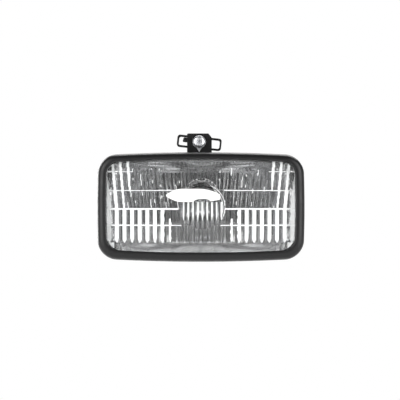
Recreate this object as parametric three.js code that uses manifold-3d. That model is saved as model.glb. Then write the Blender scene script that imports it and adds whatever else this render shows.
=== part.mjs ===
// Rectangular halogen fog light for a bumper opening: a fluted glass lens in a black bezel, a mirror
// reflector with an axial bulb, a moulded housing with a pull-off rear cap, two support arms that the lamp
// tilts on, and a screw and clip nut at the top that set its aim.
// Units are millimetres. +X is to the right seen from the front, +Y to the rear, +Z up. The origin is on the
// optical axis, in the plane of the bezel's rear edge.

import * as THREE from "three";
import { mergeVertices } from "three/addons/utils/BufferGeometryUtils.js";
import Module from "manifold-3d";

const wasm = await Module();
wasm.setup();

// ---- Driving dimensions ----

// Bezel outline: a rounded rectangle whose four sides bow outwards.
const HALF_WIDTH = 80;
const HALF_HEIGHT = 42.2;
const SIDE_BOW = 1.0;
const TOP_BOW = 2.4;
const CORNER_RADIUS = 14;
const LIP_WIDTH = 5.4; // of the bezel's front lip along the top
const LIP_EXTRA = 1.9; // by which the lip is wider at the sides and the bottom

// Depths from front to back.
const BEZEL_FRONT_Y = -16.6;
const BEZEL_WALL = 2.6;
const LIP_BACK_Y = -12.8;
const LENS_FLANGE_Y = [-12.5, -8.4];
const LENS_EDGE_Y = -14.6;
const LENS_RISE = 4.4;
const LENS_THICKNESS = 3.7;
const LENS_PLAY = 0.5; // between the lens's crown and the bezel's lip
const LENS_WALL = 3.1; // between the crown's outside and its hollow
const FLANGE_Y = [-5.8, -0.8]; // housing flange
const VERTEX_Y = 42; // of the reflector's paraboloid
const FOCAL_LENGTH = 25;
const SEAT_Y = 43.9; // rear face of the collar that the bulb sits on
const NECK_END_Y = 60;

const GAP = 0.3; // between pieces that rest on each other
const FRAME_CLEARANCE = 3.0; // inset of the lens, gasket and housing flange from the bezel outline
const REFLECTOR_INSET = 7.3;
const REFLECTOR_WALL = 1.3; // across the flat walls
const REFLECTOR_BACKING = 1.6; // along the axis, behind the paraboloid
const REFLECTOR_DRAFT = 0.84; // height at the deep end of the flat walls, as a share of the mouth's
const COLLAR_RADIUS = 18;
const BULB_HOLE_RADIUS = 8.6;

const CAP_REACH_Y = 75; // rearmost plane of the rear cap

const NECK_RADIUS = 31;
const NECK_WALL = 2.8;
const HOUSING_WALL = 2.1;
const HOUSING_INSET = 3.6; // of the housing's outside behind its flange
const SHOULDER_INSET = 6.5; // of the outline that the housing's shoulder blends from
const SHOULDER_RADIUS = 33; // of the circle it blends towards

// Aim adjuster at the top.
const SCREW_X = -1.2;
const SCREW_Z = 50.8;
const SCREW_RADIUS = 2.4;
const SCREW_HOLE_RADIUS = 2.8;
const SCREW_HEAD_RADIUS = 4.75;
const SCREW_TIP_Y = 30;
const EAR_Y = [2, 4];
const EAR_X = [-10.7, 8.6];
const EAR_TOP_Z = 57.4;
const CLIP_Y = [13, 21];
const CLIP_TURN = THREE.MathUtils.degToRad(6); // the clip nut sits slightly turned on its screw
const CLIP_HALF_WIDTH = 17.6;
const CLIP_HALF_HEIGHT = 4.8;
const CLIP_BAND = 1.2;
const CLIP_BLOCK_X = 8; // half the width of the solid middle between the two loops

// Lower pivots.
const PIVOT_X = 49.5;
const PIVOT_Y = 19;
const PIVOT_Z = -38.4;
const PIN_RADIUS = 2;
const ARM_WIDTH = 7;
const EYE_RADIUS = 3.7;
const BOLT_HOLE_RADIUS = 2.7;

// Bulb retaining clip.
const WIRE_RADIUS = 0.6;
const HINGE_Y = 47.2;
const HINGE_Z = 12.4;
const CLIP_LEG_X = 7.2;
const CLIP_BAR_Z = -11.6;

// Electrical inlet on the housing's shoulder.
const INLET_X = 42.5;
const INLET_HALF_WIDTH = 6;
const INLET_HALF_HEIGHT = 8;
const INLET_WALL = 1.4;
const BLADE_Z = 4;
const BLADE_HALF_WIDTH = 3.15;
const BLADE_HALF_THICKNESS = 0.4;
const LEAD_RADIUS = 1.1;

// Bezel screws, which enter through the top and bottom walls.
const BEZEL_SCREW_X = 52;
const BEZEL_SCREW_Y = -3.3;
const BEZEL_SCREW_HEAD_RADIUS = 2.9;
const BEZEL_SCREW_RADIUS = 1.3;
const BEZEL_SCREW_LENGTH = 5.2;
const BEZEL_SCREW_PLAY = 0.4;

// ---- Materials ----

const material = (color, roughness, metalness = 0, opacity = 1) =>
  new THREE.MeshStandardMaterial({ color, roughness, metalness, opacity, transparent: opacity < 1 });

const BLACK_PLASTIC = material(0x1b1b1c, 0.5);
const HOUSING_PLASTIC = material(0x232325, 0.6);
const RUBBER = material(0x151515, 0.85);
const GLASS = material(0xf2f5f5, 0.05, 0, 0.35);
const MIRROR = material(0xd9dadb, 0.08, 1);
const CHROME = material(0xc9cacc, 0.15, 1);
const ZINC = material(0xb9bbbd, 0.35, 1);
const BLACK_STEEL = material(0x17181a, 0.45, 0.6);
const BRASS = material(0xb08d4a, 0.35, 1);
const TUNGSTEN = material(0x8a8a88, 0.5, 1);
const NYLON = material(0x1f1f1f, 0.5);
const CERAMIC = material(0xd8d4c8, 0.7);
const LIVE_WIRE = material(0x7a1d1a, 0.6);
const GROUND_WIRE = material(0x3a2a20, 0.6);

// ---- Solids ----

// A geometry as a manifold-3d solid, with its faces turned outwards.
function solid(geometry) {
  const bare = geometry.clone();
  bare.deleteAttribute("normal");
  bare.deleteAttribute("uv");
  const merged = mergeVertices(bare, 1e-4);
  const corners = merged.index.array;
  const faces = [];
  for (let i = 0; i < corners.length; i += 3) {
    const [a, b, c] = corners.slice(i, i + 3);
    if (a !== b && b !== c && c !== a) faces.push(a, b, c);
  }
  const vertProperties = merged.attributes.position.array;
  const make = (triVerts) => new wasm.Manifold(new wasm.Mesh({ numProp: 3, vertProperties, triVerts }));
  const made = make(Uint32Array.from(faces));
  if (made.volume() > 0) return made;
  return make(Uint32Array.from(faces.reverse()));
}

// A solid back as a three.js geometry.
function geometryOf(manifold) {
  const mesh = manifold.getMesh();
  const geometry = new THREE.BufferGeometry();
  geometry.setAttribute("position", new THREE.BufferAttribute(mesh.vertProperties, 3));
  geometry.setIndex(new THREE.BufferAttribute(mesh.triVerts, 1));
  geometry.computeVertexNormals();
  return geometry;
}

// A named mesh of a solid.
function piece(name, shape, look) {
  const mesh = new THREE.Mesh(geometryOf(shape), look);
  mesh.name = name;
  return mesh;
}

// A box from its lowest to its highest corner.
function box([x0, y0, z0], [x1, y1, z1]) {
  const geometry = new THREE.BoxGeometry(x1 - x0, y1 - y0, z1 - z0);
  return solid(geometry.translate((x0 + x1) / 2, (y0 + y1) / 2, (z0 + z1) / 2));
}

// A body turned about the Y axis through (x, z), from [radius, y] points.
function turned(profile, { x = 0, z = 0, segments = 24 } = {}) {
  const points = profile.map(([radius, y]) => new THREE.Vector2(radius, y));
  return solid(new THREE.LatheGeometry(points, segments).translate(x, 0, z));
}

// A turned ring, whose profile closes on itself.
const turnedRing = (profile, options) => turned([...profile, profile[0]], options);

// A round bar along Y.
const rod = (radius, y0, y1, options) =>
  turned([[0, y0], [radius, y0], [radius, y1], [0, y1]], options);

// A round bar along X through (y, z).
function crossRod(radius, x0, x1, y, z, segments = 16) {
  const geometry = new THREE.CylinderGeometry(radius, radius, x1 - x0, segments);
  return solid(geometry.rotateZ(Math.PI / 2).translate((x0 + x1) / 2, y, z));
}

// A flat outline of [x, y] points extruded along Z from z0 to z1.
function plate(outline, z0, z1) {
  const shape = new THREE.Shape(outline.map(([x, y]) => new THREE.Vector2(x, y)));
  const geometry = new THREE.ExtrudeGeometry(shape, { depth: z1 - z0, bevelEnabled: false });
  return solid(geometry.translate(0, 0, z0));
}

// Turns a plate drawn in [y, z] so that it is extruded along X.
const TO_X = new THREE.Matrix4().set(0, 0, 1, 0, 1, 0, 0, 0, 0, 1, 0, 0, 0, 0, 0, 1);
const sidePlate = (outline, x0, x1) => {
  const shape = new THREE.Shape(outline.map(([y, z]) => new THREE.Vector2(y, z)));
  const geometry = new THREE.ExtrudeGeometry(shape, { depth: x1 - x0, bevelEnabled: false });
  return solid(geometry.applyMatrix4(TO_X).translate(x0, 0, 0));
};

// Round wire or cable along points.
function wire(points, radius, steps) {
  const path = new THREE.CatmullRomCurve3(points.map((p) => new THREE.Vector3(...p)), false, "centripetal");
  const section = new THREE.Shape();
  section.absarc(0, 0, radius, 0, 2 * Math.PI);
  const options = { steps, extrudePath: path, curveSegments: 4, bevelEnabled: false };
  return solid(new THREE.ExtrudeGeometry(section, options));
}

const union = (first, ...others) => others.reduce((sum, other) => sum.add(other), first);
const cut = (body, ...tools) => tools.reduce((left, tool) => left.subtract(tool), body);

// ---- Outlines and skins ----

const SIDE_STEPS = 3;
const CORNER_STEPS = 6;
const TOP_STEPS = 5;

// Points of the bezel outline moved inwards by inset, and by extra more at the sides and the bottom.
function outline(inset, extra = 0) {
  const halfWidth = HALF_WIDTH - SIDE_BOW - inset - extra;
  const radius = Math.max(CORNER_RADIUS - inset, 4);
  const quarter = (halfHeight) => {
    const points = [];
    for (let i = 0; i < SIDE_STEPS; i++) {
      points.push([halfWidth, ((halfHeight - radius) * i) / SIDE_STEPS]);
    }
    for (let i = 0; i < CORNER_STEPS; i++) {
      const angle = ((Math.PI / 2) * i) / CORNER_STEPS;
      points.push([
        halfWidth - radius + radius * Math.cos(angle),
        halfHeight - radius + radius * Math.sin(angle),
      ]);
    }
    for (let i = 0; i < TOP_STEPS; i++) {
      points.push([(halfWidth - radius) * (1 - i / TOP_STEPS), halfHeight]);
    }
    return points.map(([x, z]) => [
      x + SIDE_BOW * (1 - (z / halfHeight) ** 2) * (x / halfWidth),
      z + TOP_BOW * (1 - (x / halfWidth) ** 2) * (z / halfHeight),
    ]);
  };
  const top = quarter(HALF_HEIGHT - TOP_BOW - inset);
  const bottom = quarter(HALF_HEIGHT - TOP_BOW - inset - extra);
  const middleTop = [0, HALF_HEIGHT - inset];
  const middleBottom = [0, -(HALF_HEIGHT - inset - extra)];
  return [
    ...top,
    middleTop,
    ...top.slice(1).reverse().map(([x, z]) => [-x, z]),
    ...bottom.map(([x, z]) => [-x, -z]),
    middleBottom,
    ...bottom.slice(1).reverse().map(([x, z]) => [x, -z]),
  ];
}

// Height of the outline above the axis at x, along its top and bottom sides.
function edgeHeight(x, inset) {
  const halfWidth = HALF_WIDTH - SIDE_BOW - inset;
  return HALF_HEIGHT - TOP_BOW - inset + TOP_BOW * (1 - (x / halfWidth) ** 2);
}

// Outline points as a ring at depth y, which may be a function of x and z.
function ring(points, y) {
  const depth = typeof y === "function" ? y : () => y;
  return points.map(([x, z]) => new THREE.Vector3(x, depth(x, z), z));
}

const scaled = (points, share) => points.map(([x, z]) => [x * share, z * share]);

// An outline part of the way to a circle: share 0 is the outline and share 1 the circle.
function towardsCircle(inset, radius, share) {
  const points = outline(inset);
  return points.map(([x, z], i) => {
    const angle = (2 * Math.PI * i) / points.length;
    return [
      x + (radius * Math.cos(angle) - x) * share,
      z + (radius * Math.sin(angle) - z) * share,
    ];
  });
}

// A closed skin over rings with equal numbers of points. Its ends are closed by fans, or, when joined, the
// last ring meets the first.
function skin(rings, joined = false) {
  const count = rings[0].length;
  const points = rings.flat();
  const faces = [];
  const bands = joined ? rings.length : rings.length - 1;
  for (let band = 0; band < bands; band++) {
    const near = band * count;
    const far = ((band + 1) % rings.length) * count;
    for (let i = 0; i < count; i++) {
      const j = (i + 1) % count;
      faces.push(near + i, near + j, far + j, near + i, far + j, far + i);
    }
  }
  if (!joined) {
    const centreOf = (some) => (
      some.reduce((sum, point) => sum.add(point), new THREE.Vector3()).divideScalar(count)
    );
    const first = points.push(centreOf(rings[0])) - 1;
    const last = points.push(centreOf(rings[rings.length - 1])) - 1;
    const lastRing = (rings.length - 1) * count;
    for (let i = 0; i < count; i++) {
      const j = (i + 1) % count;
      faces.push(first, j, i, last, lastRing + i, lastRing + j);
    }
  }
  const geometry = new THREE.BufferGeometry().setFromPoints(points);
  geometry.setIndex(faces);
  return solid(geometry);
}

// ---- Front: bezel, lens and gasket ----

// The four places where a bezel screw enters: x, and 1 for the top or -1 for the bottom.
const BEZEL_SCREW_PLACES = [
  ["top_left", -BEZEL_SCREW_X, 1],
  ["top_right", BEZEL_SCREW_X, 1],
  ["bottom_left", -BEZEL_SCREW_X, -1],
  ["bottom_right", BEZEL_SCREW_X, -1],
];
const SCREW_EDGE_Z = edgeHeight(BEZEL_SCREW_X, 0);

// A countersunk screw, or with play its hole, that points inwards along Z from the bezel's top or bottom
// wall. Its head ends rise above the wall.
function countersunk(x, side, depth, play = 0, rise = 0) {
  const headRadius = BEZEL_SCREW_HEAD_RADIUS + play;
  const shankRadius = BEZEL_SCREW_RADIUS + play;
  const rim = [[0, rise], [headRadius, rise], [headRadius, -0.1]];
  const cone = [[shankRadius, -2], [shankRadius, -depth], [0, -depth]];
  const points = [...rim, ...cone].map(([radius, y]) => new THREE.Vector2(radius, y));
  const geometry = new THREE.LatheGeometry(points, 12).rotateX(side > 0 ? Math.PI / 2 : -Math.PI / 2);
  return solid(geometry.translate(x, BEZEL_SCREW_Y, side * SCREW_EDGE_Z));
}

function bezel() {
  // Inset, depth, and the share of the lip's extra width.
  const section = [
    [0.9, 0, 0],
    [0, -3, 0],
    [0, -9.5, 0],
    [0.5, -12.8, 0],
    [1.6, -15.2, 0.1],
    [3.2, -16.4, 0.5],
    [4.6, BEZEL_FRONT_Y, 0.85],
    [LIP_WIDTH, -15.9, 1],
    [LIP_WIDTH, LIP_BACK_Y, 1],
    [BEZEL_WALL, LIP_BACK_Y, 0],
    [BEZEL_WALL, 0, 0],
  ];
  const rings = section.map(([inset, y, share]) => ring(outline(inset, share * LIP_EXTRA), y));
  const hole = ([, x, side]) => countersunk(x, side, 6, BEZEL_SCREW_PLAY, 1);
  const holes = BEZEL_SCREW_PLACES.map(hole);
  return cut(skin(rings, true), ...holes);
}

// The lens is a domed dish with a flange. Its crown stands proud of the bezel.
function lens() {
  const window = outline(LIP_WIDTH + LENS_PLAY, LIP_EXTRA);
  const hollow = outline(LIP_WIDTH + LENS_PLAY + LENS_WALL, LIP_EXTRA);
  const shares = [0.3, 0.55, 0.78, 0.93, 1];
  const dome = (points, edgeY) => (share) => (
    ring(scaled(points, share), edgeY - LENS_RISE * (1 - share ** 2))
  );
  const front = dome(window, LENS_EDGE_Y);
  const back = dome(hollow, LENS_EDGE_Y + LENS_THICKNESS);
  return skin([
    ...shares.map(front),
    ring(window, LENS_FLANGE_Y[0]),
    ring(outline(FRAME_CLEARANCE), LENS_FLANGE_Y[0]),
    ring(outline(FRAME_CLEARANCE), LENS_FLANGE_Y[1]),
    ring(outline(LIP_WIDTH + LENS_WALL, LIP_EXTRA), LENS_FLANGE_Y[1]),
    ...shares.toReversed().map(back),
  ]);
}

function lensGasket() {
  const [front, back] = [LENS_FLANGE_Y[1] + GAP, FLANGE_Y[0] - GAP];
  const [outer, inner] = [outline(FRAME_CLEARANCE + GAP), outline(RIM_INSET - GAP)];
  return skin([ring(outer, front), ring(outer, back), ring(inner, back), ring(inner, front)], true);
}

function addFront(lamp) {
  lamp.add(piece("bezel", bezel(), BLACK_PLASTIC));
  lamp.add(piece("lens", lens(), GLASS));
  lamp.add(piece("lens_gasket", lensGasket(), RUBBER));
  for (const [place, x, side] of BEZEL_SCREW_PLACES) {
    lamp.add(piece(`bezel_screw_${place}`, countersunk(x, side, BEZEL_SCREW_LENGTH), ZINC));
  }
}

// ---- Reflector ----

const paraboloid = (x, z) => VERTEX_Y - (x * x + z * z) / (4 * FOCAL_LENGTH);
const RIM_Y = [-7.9, FLANGE_Y[0] - GAP];
const RIM_INSET = 4.9;
const SHIELD_RIVET_Z = -24;

// A mirror bowl: a paraboloid cut by flat upper and lower walls, with a rim that rests on the housing
// flange.
function reflector() {
  const mouth = outline(REFLECTOR_INSET);
  const back = outline(REFLECTOR_INSET - REFLECTOR_WALL);
  const deep = (points) => points.map(([x, z]) => [x, z * REFLECTOR_DRAFT]);
  const inner = (x, z) => Math.max(paraboloid(x, z), RIM_Y[0] + GAP);
  const outer = (x, z) => Math.max(paraboloid(x, z) + REFLECTOR_BACKING, RIM_Y[1] + GAP);
  const shares = [0.16, 0.34, 0.5, 0.66, 0.8, 0.91, 1];
  const bowl = skin([
    ...shares.map((share) => ring(scaled(deep(mouth), share), inner)),
    ring(mouth, RIM_Y[0]),
    ring(outline(RIM_INSET), RIM_Y[0]),
    ring(outline(RIM_INSET), RIM_Y[1]),
    ring(back, RIM_Y[1]),
    ...shares.toReversed().map((share) => ring(scaled(deep(back), share), outer)),
  ]);
  const collar = rod(COLLAR_RADIUS, 39.5, SEAT_Y, { segments: 32 });
  const bulbHole = rod(BULB_HOLE_RADIUS, 30, 60, { segments: 32 });
  const rivetHole = shieldRivetBar(1.6, -2, 12);
  return cut(bowl.add(collar), bulbHole, rivetHole);
}

// ---- Bulb, its shield and its retaining clip ----

const CAPSULE_RADIUS = 4.7;
const CAPSULE_Y = [6, 35.7];
const BASE_Y = [CAPSULE_Y[1] + GAP, 52];
const BULB_FLANGE_Y = [SEAT_Y + GAP, 45.4];
const BULB_FLANGE_RADIUS = 10;

// The direct-light shield: a cup over the bulb's tip, on a strip leg that is riveted to the reflector.
function bulbShield() {
  const cup = turned([
    [0, 1.2], [5.6, 1.6], [7.2, 3.0], [7.6, 5], [7.6, 14],
    [7.0, 14], [7.0, 5.2], [6.6, 3.6], [5.2, 2.3], [0, 1.9],
  ], { segments: 32 });
  const centreline = [[12.5, -7.4], [24, -9.6], [34.2, -17], [36.9, -20.9], [34.2, -26.4]];
  const leg = sidePlate(thickened(centreline, 0.8), -2.2, 2.2);
  return cut(cup.add(leg), shieldRivetBar(1.5, -3, 3));
}

// The outline of a strip of even thickness along a bent centreline.
function thickened(points, thickness) {
  const offset = (side) => points.map(([u, v], i) => {
    const [u0, v0] = points[Math.max(i - 1, 0)];
    const [u1, v1] = points[Math.min(i + 1, points.length - 1)];
    const length = Math.hypot(u1 - u0, v1 - v0);
    const reach = (side * thickness) / 2 / length;
    return [u - (v1 - v0) * reach, v + (u1 - u0) * reach];
  });
  return [...offset(1), ...offset(-1).reverse()];
}

// A round bar square to the reflector at the shield's foot, from start to end behind the mirror surface.
function shieldRivetBar(radius, start, end) {
  const tilt = Math.atan((2 * -SHIELD_RIVET_Z) / (4 * FOCAL_LENGTH));
  const geometry = new THREE.CylinderGeometry(radius, radius, end - start, 12);
  geometry.translate(0, (start + end) / 2, 0).rotateX(-tilt);
  return solid(geometry.translate(0, paraboloid(0, SHIELD_RIVET_Z), SHIELD_RIVET_Z));
}

const shieldRivet = () => union(
  shieldRivetBar(1.1, -1.8, 2.6),
  shieldRivetBar(2.1, -2.2, -1.4),
  shieldRivetBar(2.1, 1.8, 2.7),
);

function bulbCapsule() {
  const [tip, base] = CAPSULE_Y;
  const inner = CAPSULE_RADIUS - 0.8;
  return turned([
    [0, tip], [2.2, tip + 0.7], [3.9, tip + 2.2], [CAPSULE_RADIUS, tip + 4.4], [CAPSULE_RADIUS, base],
    [inner, base], [inner, tip + 5], [3, tip + 3], [1.4, tip + 1.8], [0, tip + 1.4],
  ], { segments: 20 });
}

function bulbFilament() {
  const coil = rod(0.8, 14.6, 19.4, { segments: 10 });
  const bridge = box([-0.3, 14.0, -0.3], [0.3, 14.7, 2.4]);
  const longLead = box([-0.3, 14.0, 2.0], [0.3, 35.2, 2.5]);
  const shortLead = box([-0.3, 19.3, -0.3], [0.3, 35.2, 0.3]);
  return union(coil, bridge, longLead, shortLead);
}

function bulbBase() {
  const [front, back] = BASE_Y;
  const [seat, flange] = BULB_FLANGE_Y;
  return turned([
    [0, front], [5.9, front], [6.2, front + 1], [6.2, seat],
    [BULB_FLANGE_RADIUS, seat], [BULB_FLANGE_RADIUS, flange],
    [5.2, flange], [5.2, back - 0.5], [4.6, back], [0, back],
  ], { segments: 28 });
}

const bulbTerminal = () => box(
  [-BLADE_HALF_WIDTH, BASE_Y[1] + GAP, -BLADE_HALF_THICKNESS],
  [BLADE_HALF_WIDTH, 59.6, BLADE_HALF_THICKNESS],
);

// An insulated flag receptacle pushed on the bulb's blade.
function bulbReceptacle() {
  const body = box([-4.6, 52.8, -3], [4.6, 61, 5]);
  const slot = box([-3.6, BASE_Y[1], -0.9], [3.6, 60.2, 0.9]);
  return cut(body, slot);
}

// A sprung wire bail across the bulb's flange, in the frame of its hinge line.
function bulbClip() {
  const flat = BULB_FLANGE_Y[1] + WIRE_RADIUS + GAP - HINGE_Y;
  const points = (side) => [
    [side * 12.2, 0, 0], [side * 9.5, 0, 0], [side * CLIP_LEG_X, 0, -0.5], [side * CLIP_LEG_X, flat, -5],
    [side * CLIP_LEG_X, flat, -12], [side * CLIP_LEG_X, flat, -19],
    [side * CLIP_LEG_X, -0.3, CLIP_BAR_Z - HINGE_Z + 1],
    [side * (CLIP_LEG_X - 1.4), -0.3, CLIP_BAR_Z - HINGE_Z],
    [side * 3, -0.3, CLIP_BAR_Z - HINGE_Z],
  ];
  return wire([...points(-1), ...points(1).reverse()], WIRE_RADIUS, 60);
}

const CLIP_FOOT_Y = [SEAT_Y + GAP, 45.2]; // sheet metal on the reflector's collar

// A pressed plate with two eyes for the wire bail's ends.
function clipHinge() {
  const foot = box([-12, CLIP_FOOT_Y[0], 10.8], [12, CLIP_FOOT_Y[1], 16.2]);
  const ear = (x) => box([x - 0.5, CLIP_FOOT_Y[0] + 0.5, 10.8], [x + 0.5, 49.2, 14.2]);
  const eyes = crossRod(WIRE_RADIUS + GAP, -14, 14, HINGE_Y, HINGE_Z, 12);
  return cut(union(foot, ear(-10.5), ear(10.5)), eyes);
}

// A hook whose nose ends just under the wire bail's bar.
function clipCatch() {
  const [front, back] = CLIP_FOOT_Y;
  const outlineYZ = [
    [front, -17], [back, -17], [48.6, -15.2], [49.4, -12.9], [48.6, -12.9], [47.6, -14.2], [back, -14.6],
    [back, -12.9], [front, -12.9],
  ];
  return sidePlate(outlineYZ, -3, 3);
}

function addBulb(lamp) {
  lamp.add(piece("reflector", reflector(), MIRROR));
  lamp.add(piece("bulb_shield", bulbShield(), CHROME));
  lamp.add(piece("shield_rivet", shieldRivet(), ZINC));
  lamp.add(piece("bulb_capsule", bulbCapsule(), GLASS));
  lamp.add(piece("bulb_filament", bulbFilament(), TUNGSTEN));
  lamp.add(piece("bulb_base", bulbBase(), CERAMIC));
  lamp.add(piece("bulb_terminal", bulbTerminal(), BRASS));
  lamp.add(piece("bulb_receptacle", bulbReceptacle(), NYLON));
  lamp.add(piece("clip_hinge_plate", clipHinge(), ZINC));
  lamp.add(piece("clip_catch", clipCatch(), ZINC));

  const clip = piece("bulb_clip", bulbClip(), ZINC);
  clip.position.set(0, HINGE_Y, HINGE_Z);
  lamp.add(clip);
}

// ---- Housing ----

const WAIST_Y = 8; // where the housing stops following the bezel's outline
const NECK_START_Y = 46;
const INLET_FLANGE_Y = [44 + GAP, 46.2];
const VENT_BORE_RADIUS = 1.4;

// A shell that runs from the front flange to the round neck behind the bulb.
function housingShell() {
  const wall = HOUSING_WALL;
  const shoulder = (inset, share) => (
    towardsCircle(SHOULDER_INSET + inset, SHOULDER_RADIUS - inset, share)
  );
  const neck = (radius) => towardsCircle(SHOULDER_INSET, radius, 1);
  const outer = [
    ring(outline(FRAME_CLEARANCE), FLANGE_Y[0]),
    ring(outline(FRAME_CLEARANCE), FLANGE_Y[1]),
    ring(outline(HOUSING_INSET), FLANGE_Y[1]),
    ring(outline(HOUSING_INSET + 0.6), WAIST_Y),
    ring(shoulder(0, 0.28), 22),
    ring(shoulder(0, 0.7), 36),
    ring(neck(NECK_RADIUS), NECK_START_Y),
    ring(neck(NECK_RADIUS), NECK_END_Y),
  ];
  const inner = [
    ring(neck(NECK_RADIUS - NECK_WALL), NECK_END_Y),
    ring(neck(NECK_RADIUS - NECK_WALL), NECK_START_Y),
    ring(shoulder(wall, 0.7), 35),
    ring(shoulder(wall, 0.28), 21),
    ring(outline(HOUSING_INSET + 0.6 + wall), WAIST_Y),
    ring(outline(HOUSING_INSET + wall), FLANGE_Y[0]),
  ];
  return skin([...outer, ...inner], true);
}

// Two lugs under the housing that hold the pivot pins.
const pivotLug = (side) => {
  const [inner, outer] = [side * (PIVOT_X - 8.5), side * (PIVOT_X - 4.5)].sort((a, b) => a - b);
  const lug = sidePlate([
    [10, -36], [27, -30], [25.4, -35], [22.4, -40.6], [19.5, -41.6], [16.5, -41], [10, -37.4],
  ], inner, outer);
  return cut(lug, crossRod(PIN_RADIUS + GAP, inner - 1, outer + 1, PIVOT_Y, PIVOT_Z, 16));
};

function housing() {
  const padTop = BRACKET_Z[0] - GAP;
  const bracketPad = sidePlate([
    [3, 37], [BRACKET_BACK_Y, 34], [BRACKET_BACK_Y, padTop], [3, padTop],
  ], EAR_X[0] - 1, EAR_X[1] + 1);
  const bossTop = INLET_FLANGE_Y[0] - GAP;
  const inletBoss = plate([[34.5, 36], [50.2, 28.4], [50.2, bossTop], [34.5, bossTop]], -10.5, 10.5);
  const ventSpigot = rod(3, 36.6, 46, { x: -INLET_X, segments: 16 });
  const body = union(housingShell(), bracketPad, inletBoss, ventSpigot, pivotLug(-1), pivotLug(1));
  const rivetHoles = RIVET_X.map((x) => verticalRod(RIVET_RADIUS + GAP, 33, 42, x, RIVET_Y));
  const [inletX, inletZ] = [INLET_HALF_WIDTH + GAP, INLET_HALF_HEIGHT + GAP];
  const inletHole = box([INLET_X - inletX, 20, -inletZ], [INLET_X + inletX, 50, inletZ]);
  const ventHole = rod(VENT_BORE_RADIUS, 20, 50, { x: -INLET_X, segments: 12 });
  const pilotHole = ([, x, side]) => countersunk(x, side, BEZEL_SCREW_LENGTH + 1.4, BEZEL_SCREW_PLAY, 1);
  const pilotHoles = BEZEL_SCREW_PLACES.map(pilotHole);
  return cut(body, ...rivetHoles, inletHole, ventHole, ...pilotHoles);
}

// A mushroom cap that keeps spray out of the vent.
const ventCap = () => turned([
  [0, 50], [4.6, 49.6], [6, 48.2], [6, 43.6], [5.2, 42.6], [3.4, 42.6], [3.4, 46.6], [0, 46.6],
], { x: -INLET_X, segments: 20 });

// ---- Rear cap ----

// A soft cap that pushes over the neck. Its middle stands back to clear the open bulb clip.
function rearCap() {
  const cup = turned([
    [0, CAP_REACH_Y], [22, CAP_REACH_Y], [25, 74.2], [26.6, 72], [28.8, 64.2], [33.6, 63.8],
    [34.2, 63], [34.2, 51], [33.6, 50.5], [31.5, 50.5],
    [31.5, 61.5], [27, 61.5], [24.8, 71.4], [23.4, 73], [0, 73],
  ], { segments: 40 });
  const tab = (side) => {
    const [low, high] = [side * 33.2, side * 39.2].sort((a, b) => a - b);
    return box([-7, 59.4, low], [7, 62.8, high]);
  };
  return union(cup, tab(-1), tab(1));
}

// A flat ring between the neck's end and the cap's shoulder.
const capSeal = () => turnedRing([
  [28.4, NECK_END_Y + GAP], [30.8, NECK_END_Y + GAP], [30.8, 61.2], [28.4, 61.2],
], { segments: 40 });

// ---- Electrical inlet ----

// A two-blade male inlet in the housing's shoulder, open to the rear.
function inletShell() {
  const centred = (halfX, halfZ, y0, y1, z = 0) => (
    box([INLET_X - halfX, y0, z - halfZ], [INLET_X + halfX, y1, z + halfZ])
  );
  const body = union(
    centred(INLET_HALF_WIDTH, INLET_HALF_HEIGHT, 36, 56),
    centred(INLET_HALF_WIDTH + 1.2, INLET_HALF_HEIGHT + 2, ...INLET_FLANGE_Y),
  );
  const socket = centred(INLET_HALF_WIDTH - INLET_WALL, INLET_HALF_HEIGHT - INLET_WALL, 40, 60);
  const slot = (z) => centred(BLADE_HALF_WIDTH + GAP, BLADE_HALF_THICKNESS + GAP, 30, 50, z);
  return cut(body, socket, slot(BLADE_Z), slot(-BLADE_Z));
}

const inletBlade = (z) => box(
  [INLET_X - BLADE_HALF_WIDTH, 31, z - BLADE_HALF_THICKNESS],
  [INLET_X + BLADE_HALF_WIDTH, 51, z + BLADE_HALF_THICKNESS],
);

// From the bulb's receptacle over the clip hinge and forward beside the reflector to the upper blade.
const liveLead = () => wire([
  [0, 57, 5.3], [0, 57, 12], [2, 56.6, 17], [9, 54.6, 19.6], [16, 50.5, 18], [21.5, 45, 14.5],
  [28, 39.5, 12.5], [34, 34.6, 12], [39.5, 30.4, 10.4], [42.3, 28.4, 7], [42.5, 28.4, 4.6], [42.5, 30.5, 4],
], LEAD_RADIUS, 44);

// From the clip's hinge plate, which is the bulb's ground, forward to the lower blade.
const groundLead = () => wire([
  [13.5, 45, 15], [17.4, 46.4, 11], [20.6, 45.6, 3], [24.4, 42.5, -6], [29.4, 38.4, -11.4],
  [34.4, 34.4, -12.4], [39.5, 30.4, -10.4], [42.3, 28.4, -7], [42.5, 28.4, -4.6], [42.5, 30.5, -4],
], LEAD_RADIUS, 40);

function addHousing(lamp) {
  lamp.add(piece("housing", housing(), HOUSING_PLASTIC));
  lamp.add(piece("vent_cap", ventCap(), RUBBER));
  lamp.add(piece("cap_seal", capSeal(), RUBBER));
  lamp.add(piece("rear_cap", rearCap(), RUBBER));
  lamp.add(piece("inlet_shell", inletShell(), NYLON));
  lamp.add(piece("inlet_blade_live", inletBlade(BLADE_Z), BRASS));
  lamp.add(piece("inlet_blade_ground", inletBlade(-BLADE_Z), BRASS));
  lamp.add(piece("lead_live", liveLead(), LIVE_WIRE));
  lamp.add(piece("lead_ground", groundLead(), GROUND_WIRE));
}

// ---- Top bracket and aim adjuster ----

const RIVET_X = [-8, 5.6];
const RIVET_Y = 12.5;
const RIVET_RADIUS = 2;
const BRACKET_Z = [39.3, 41.3];
const BRACKET_BACK_Y = 19;

// A round bar along Z through (x, y).
function verticalRod(radius, z0, z1, x, y, segments = 16) {
  const geometry = new THREE.CylinderGeometry(radius, radius, z1 - z0, segments);
  return solid(geometry.rotateX(Math.PI / 2).translate(x, y, (z0 + z1) / 2));
}

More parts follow.
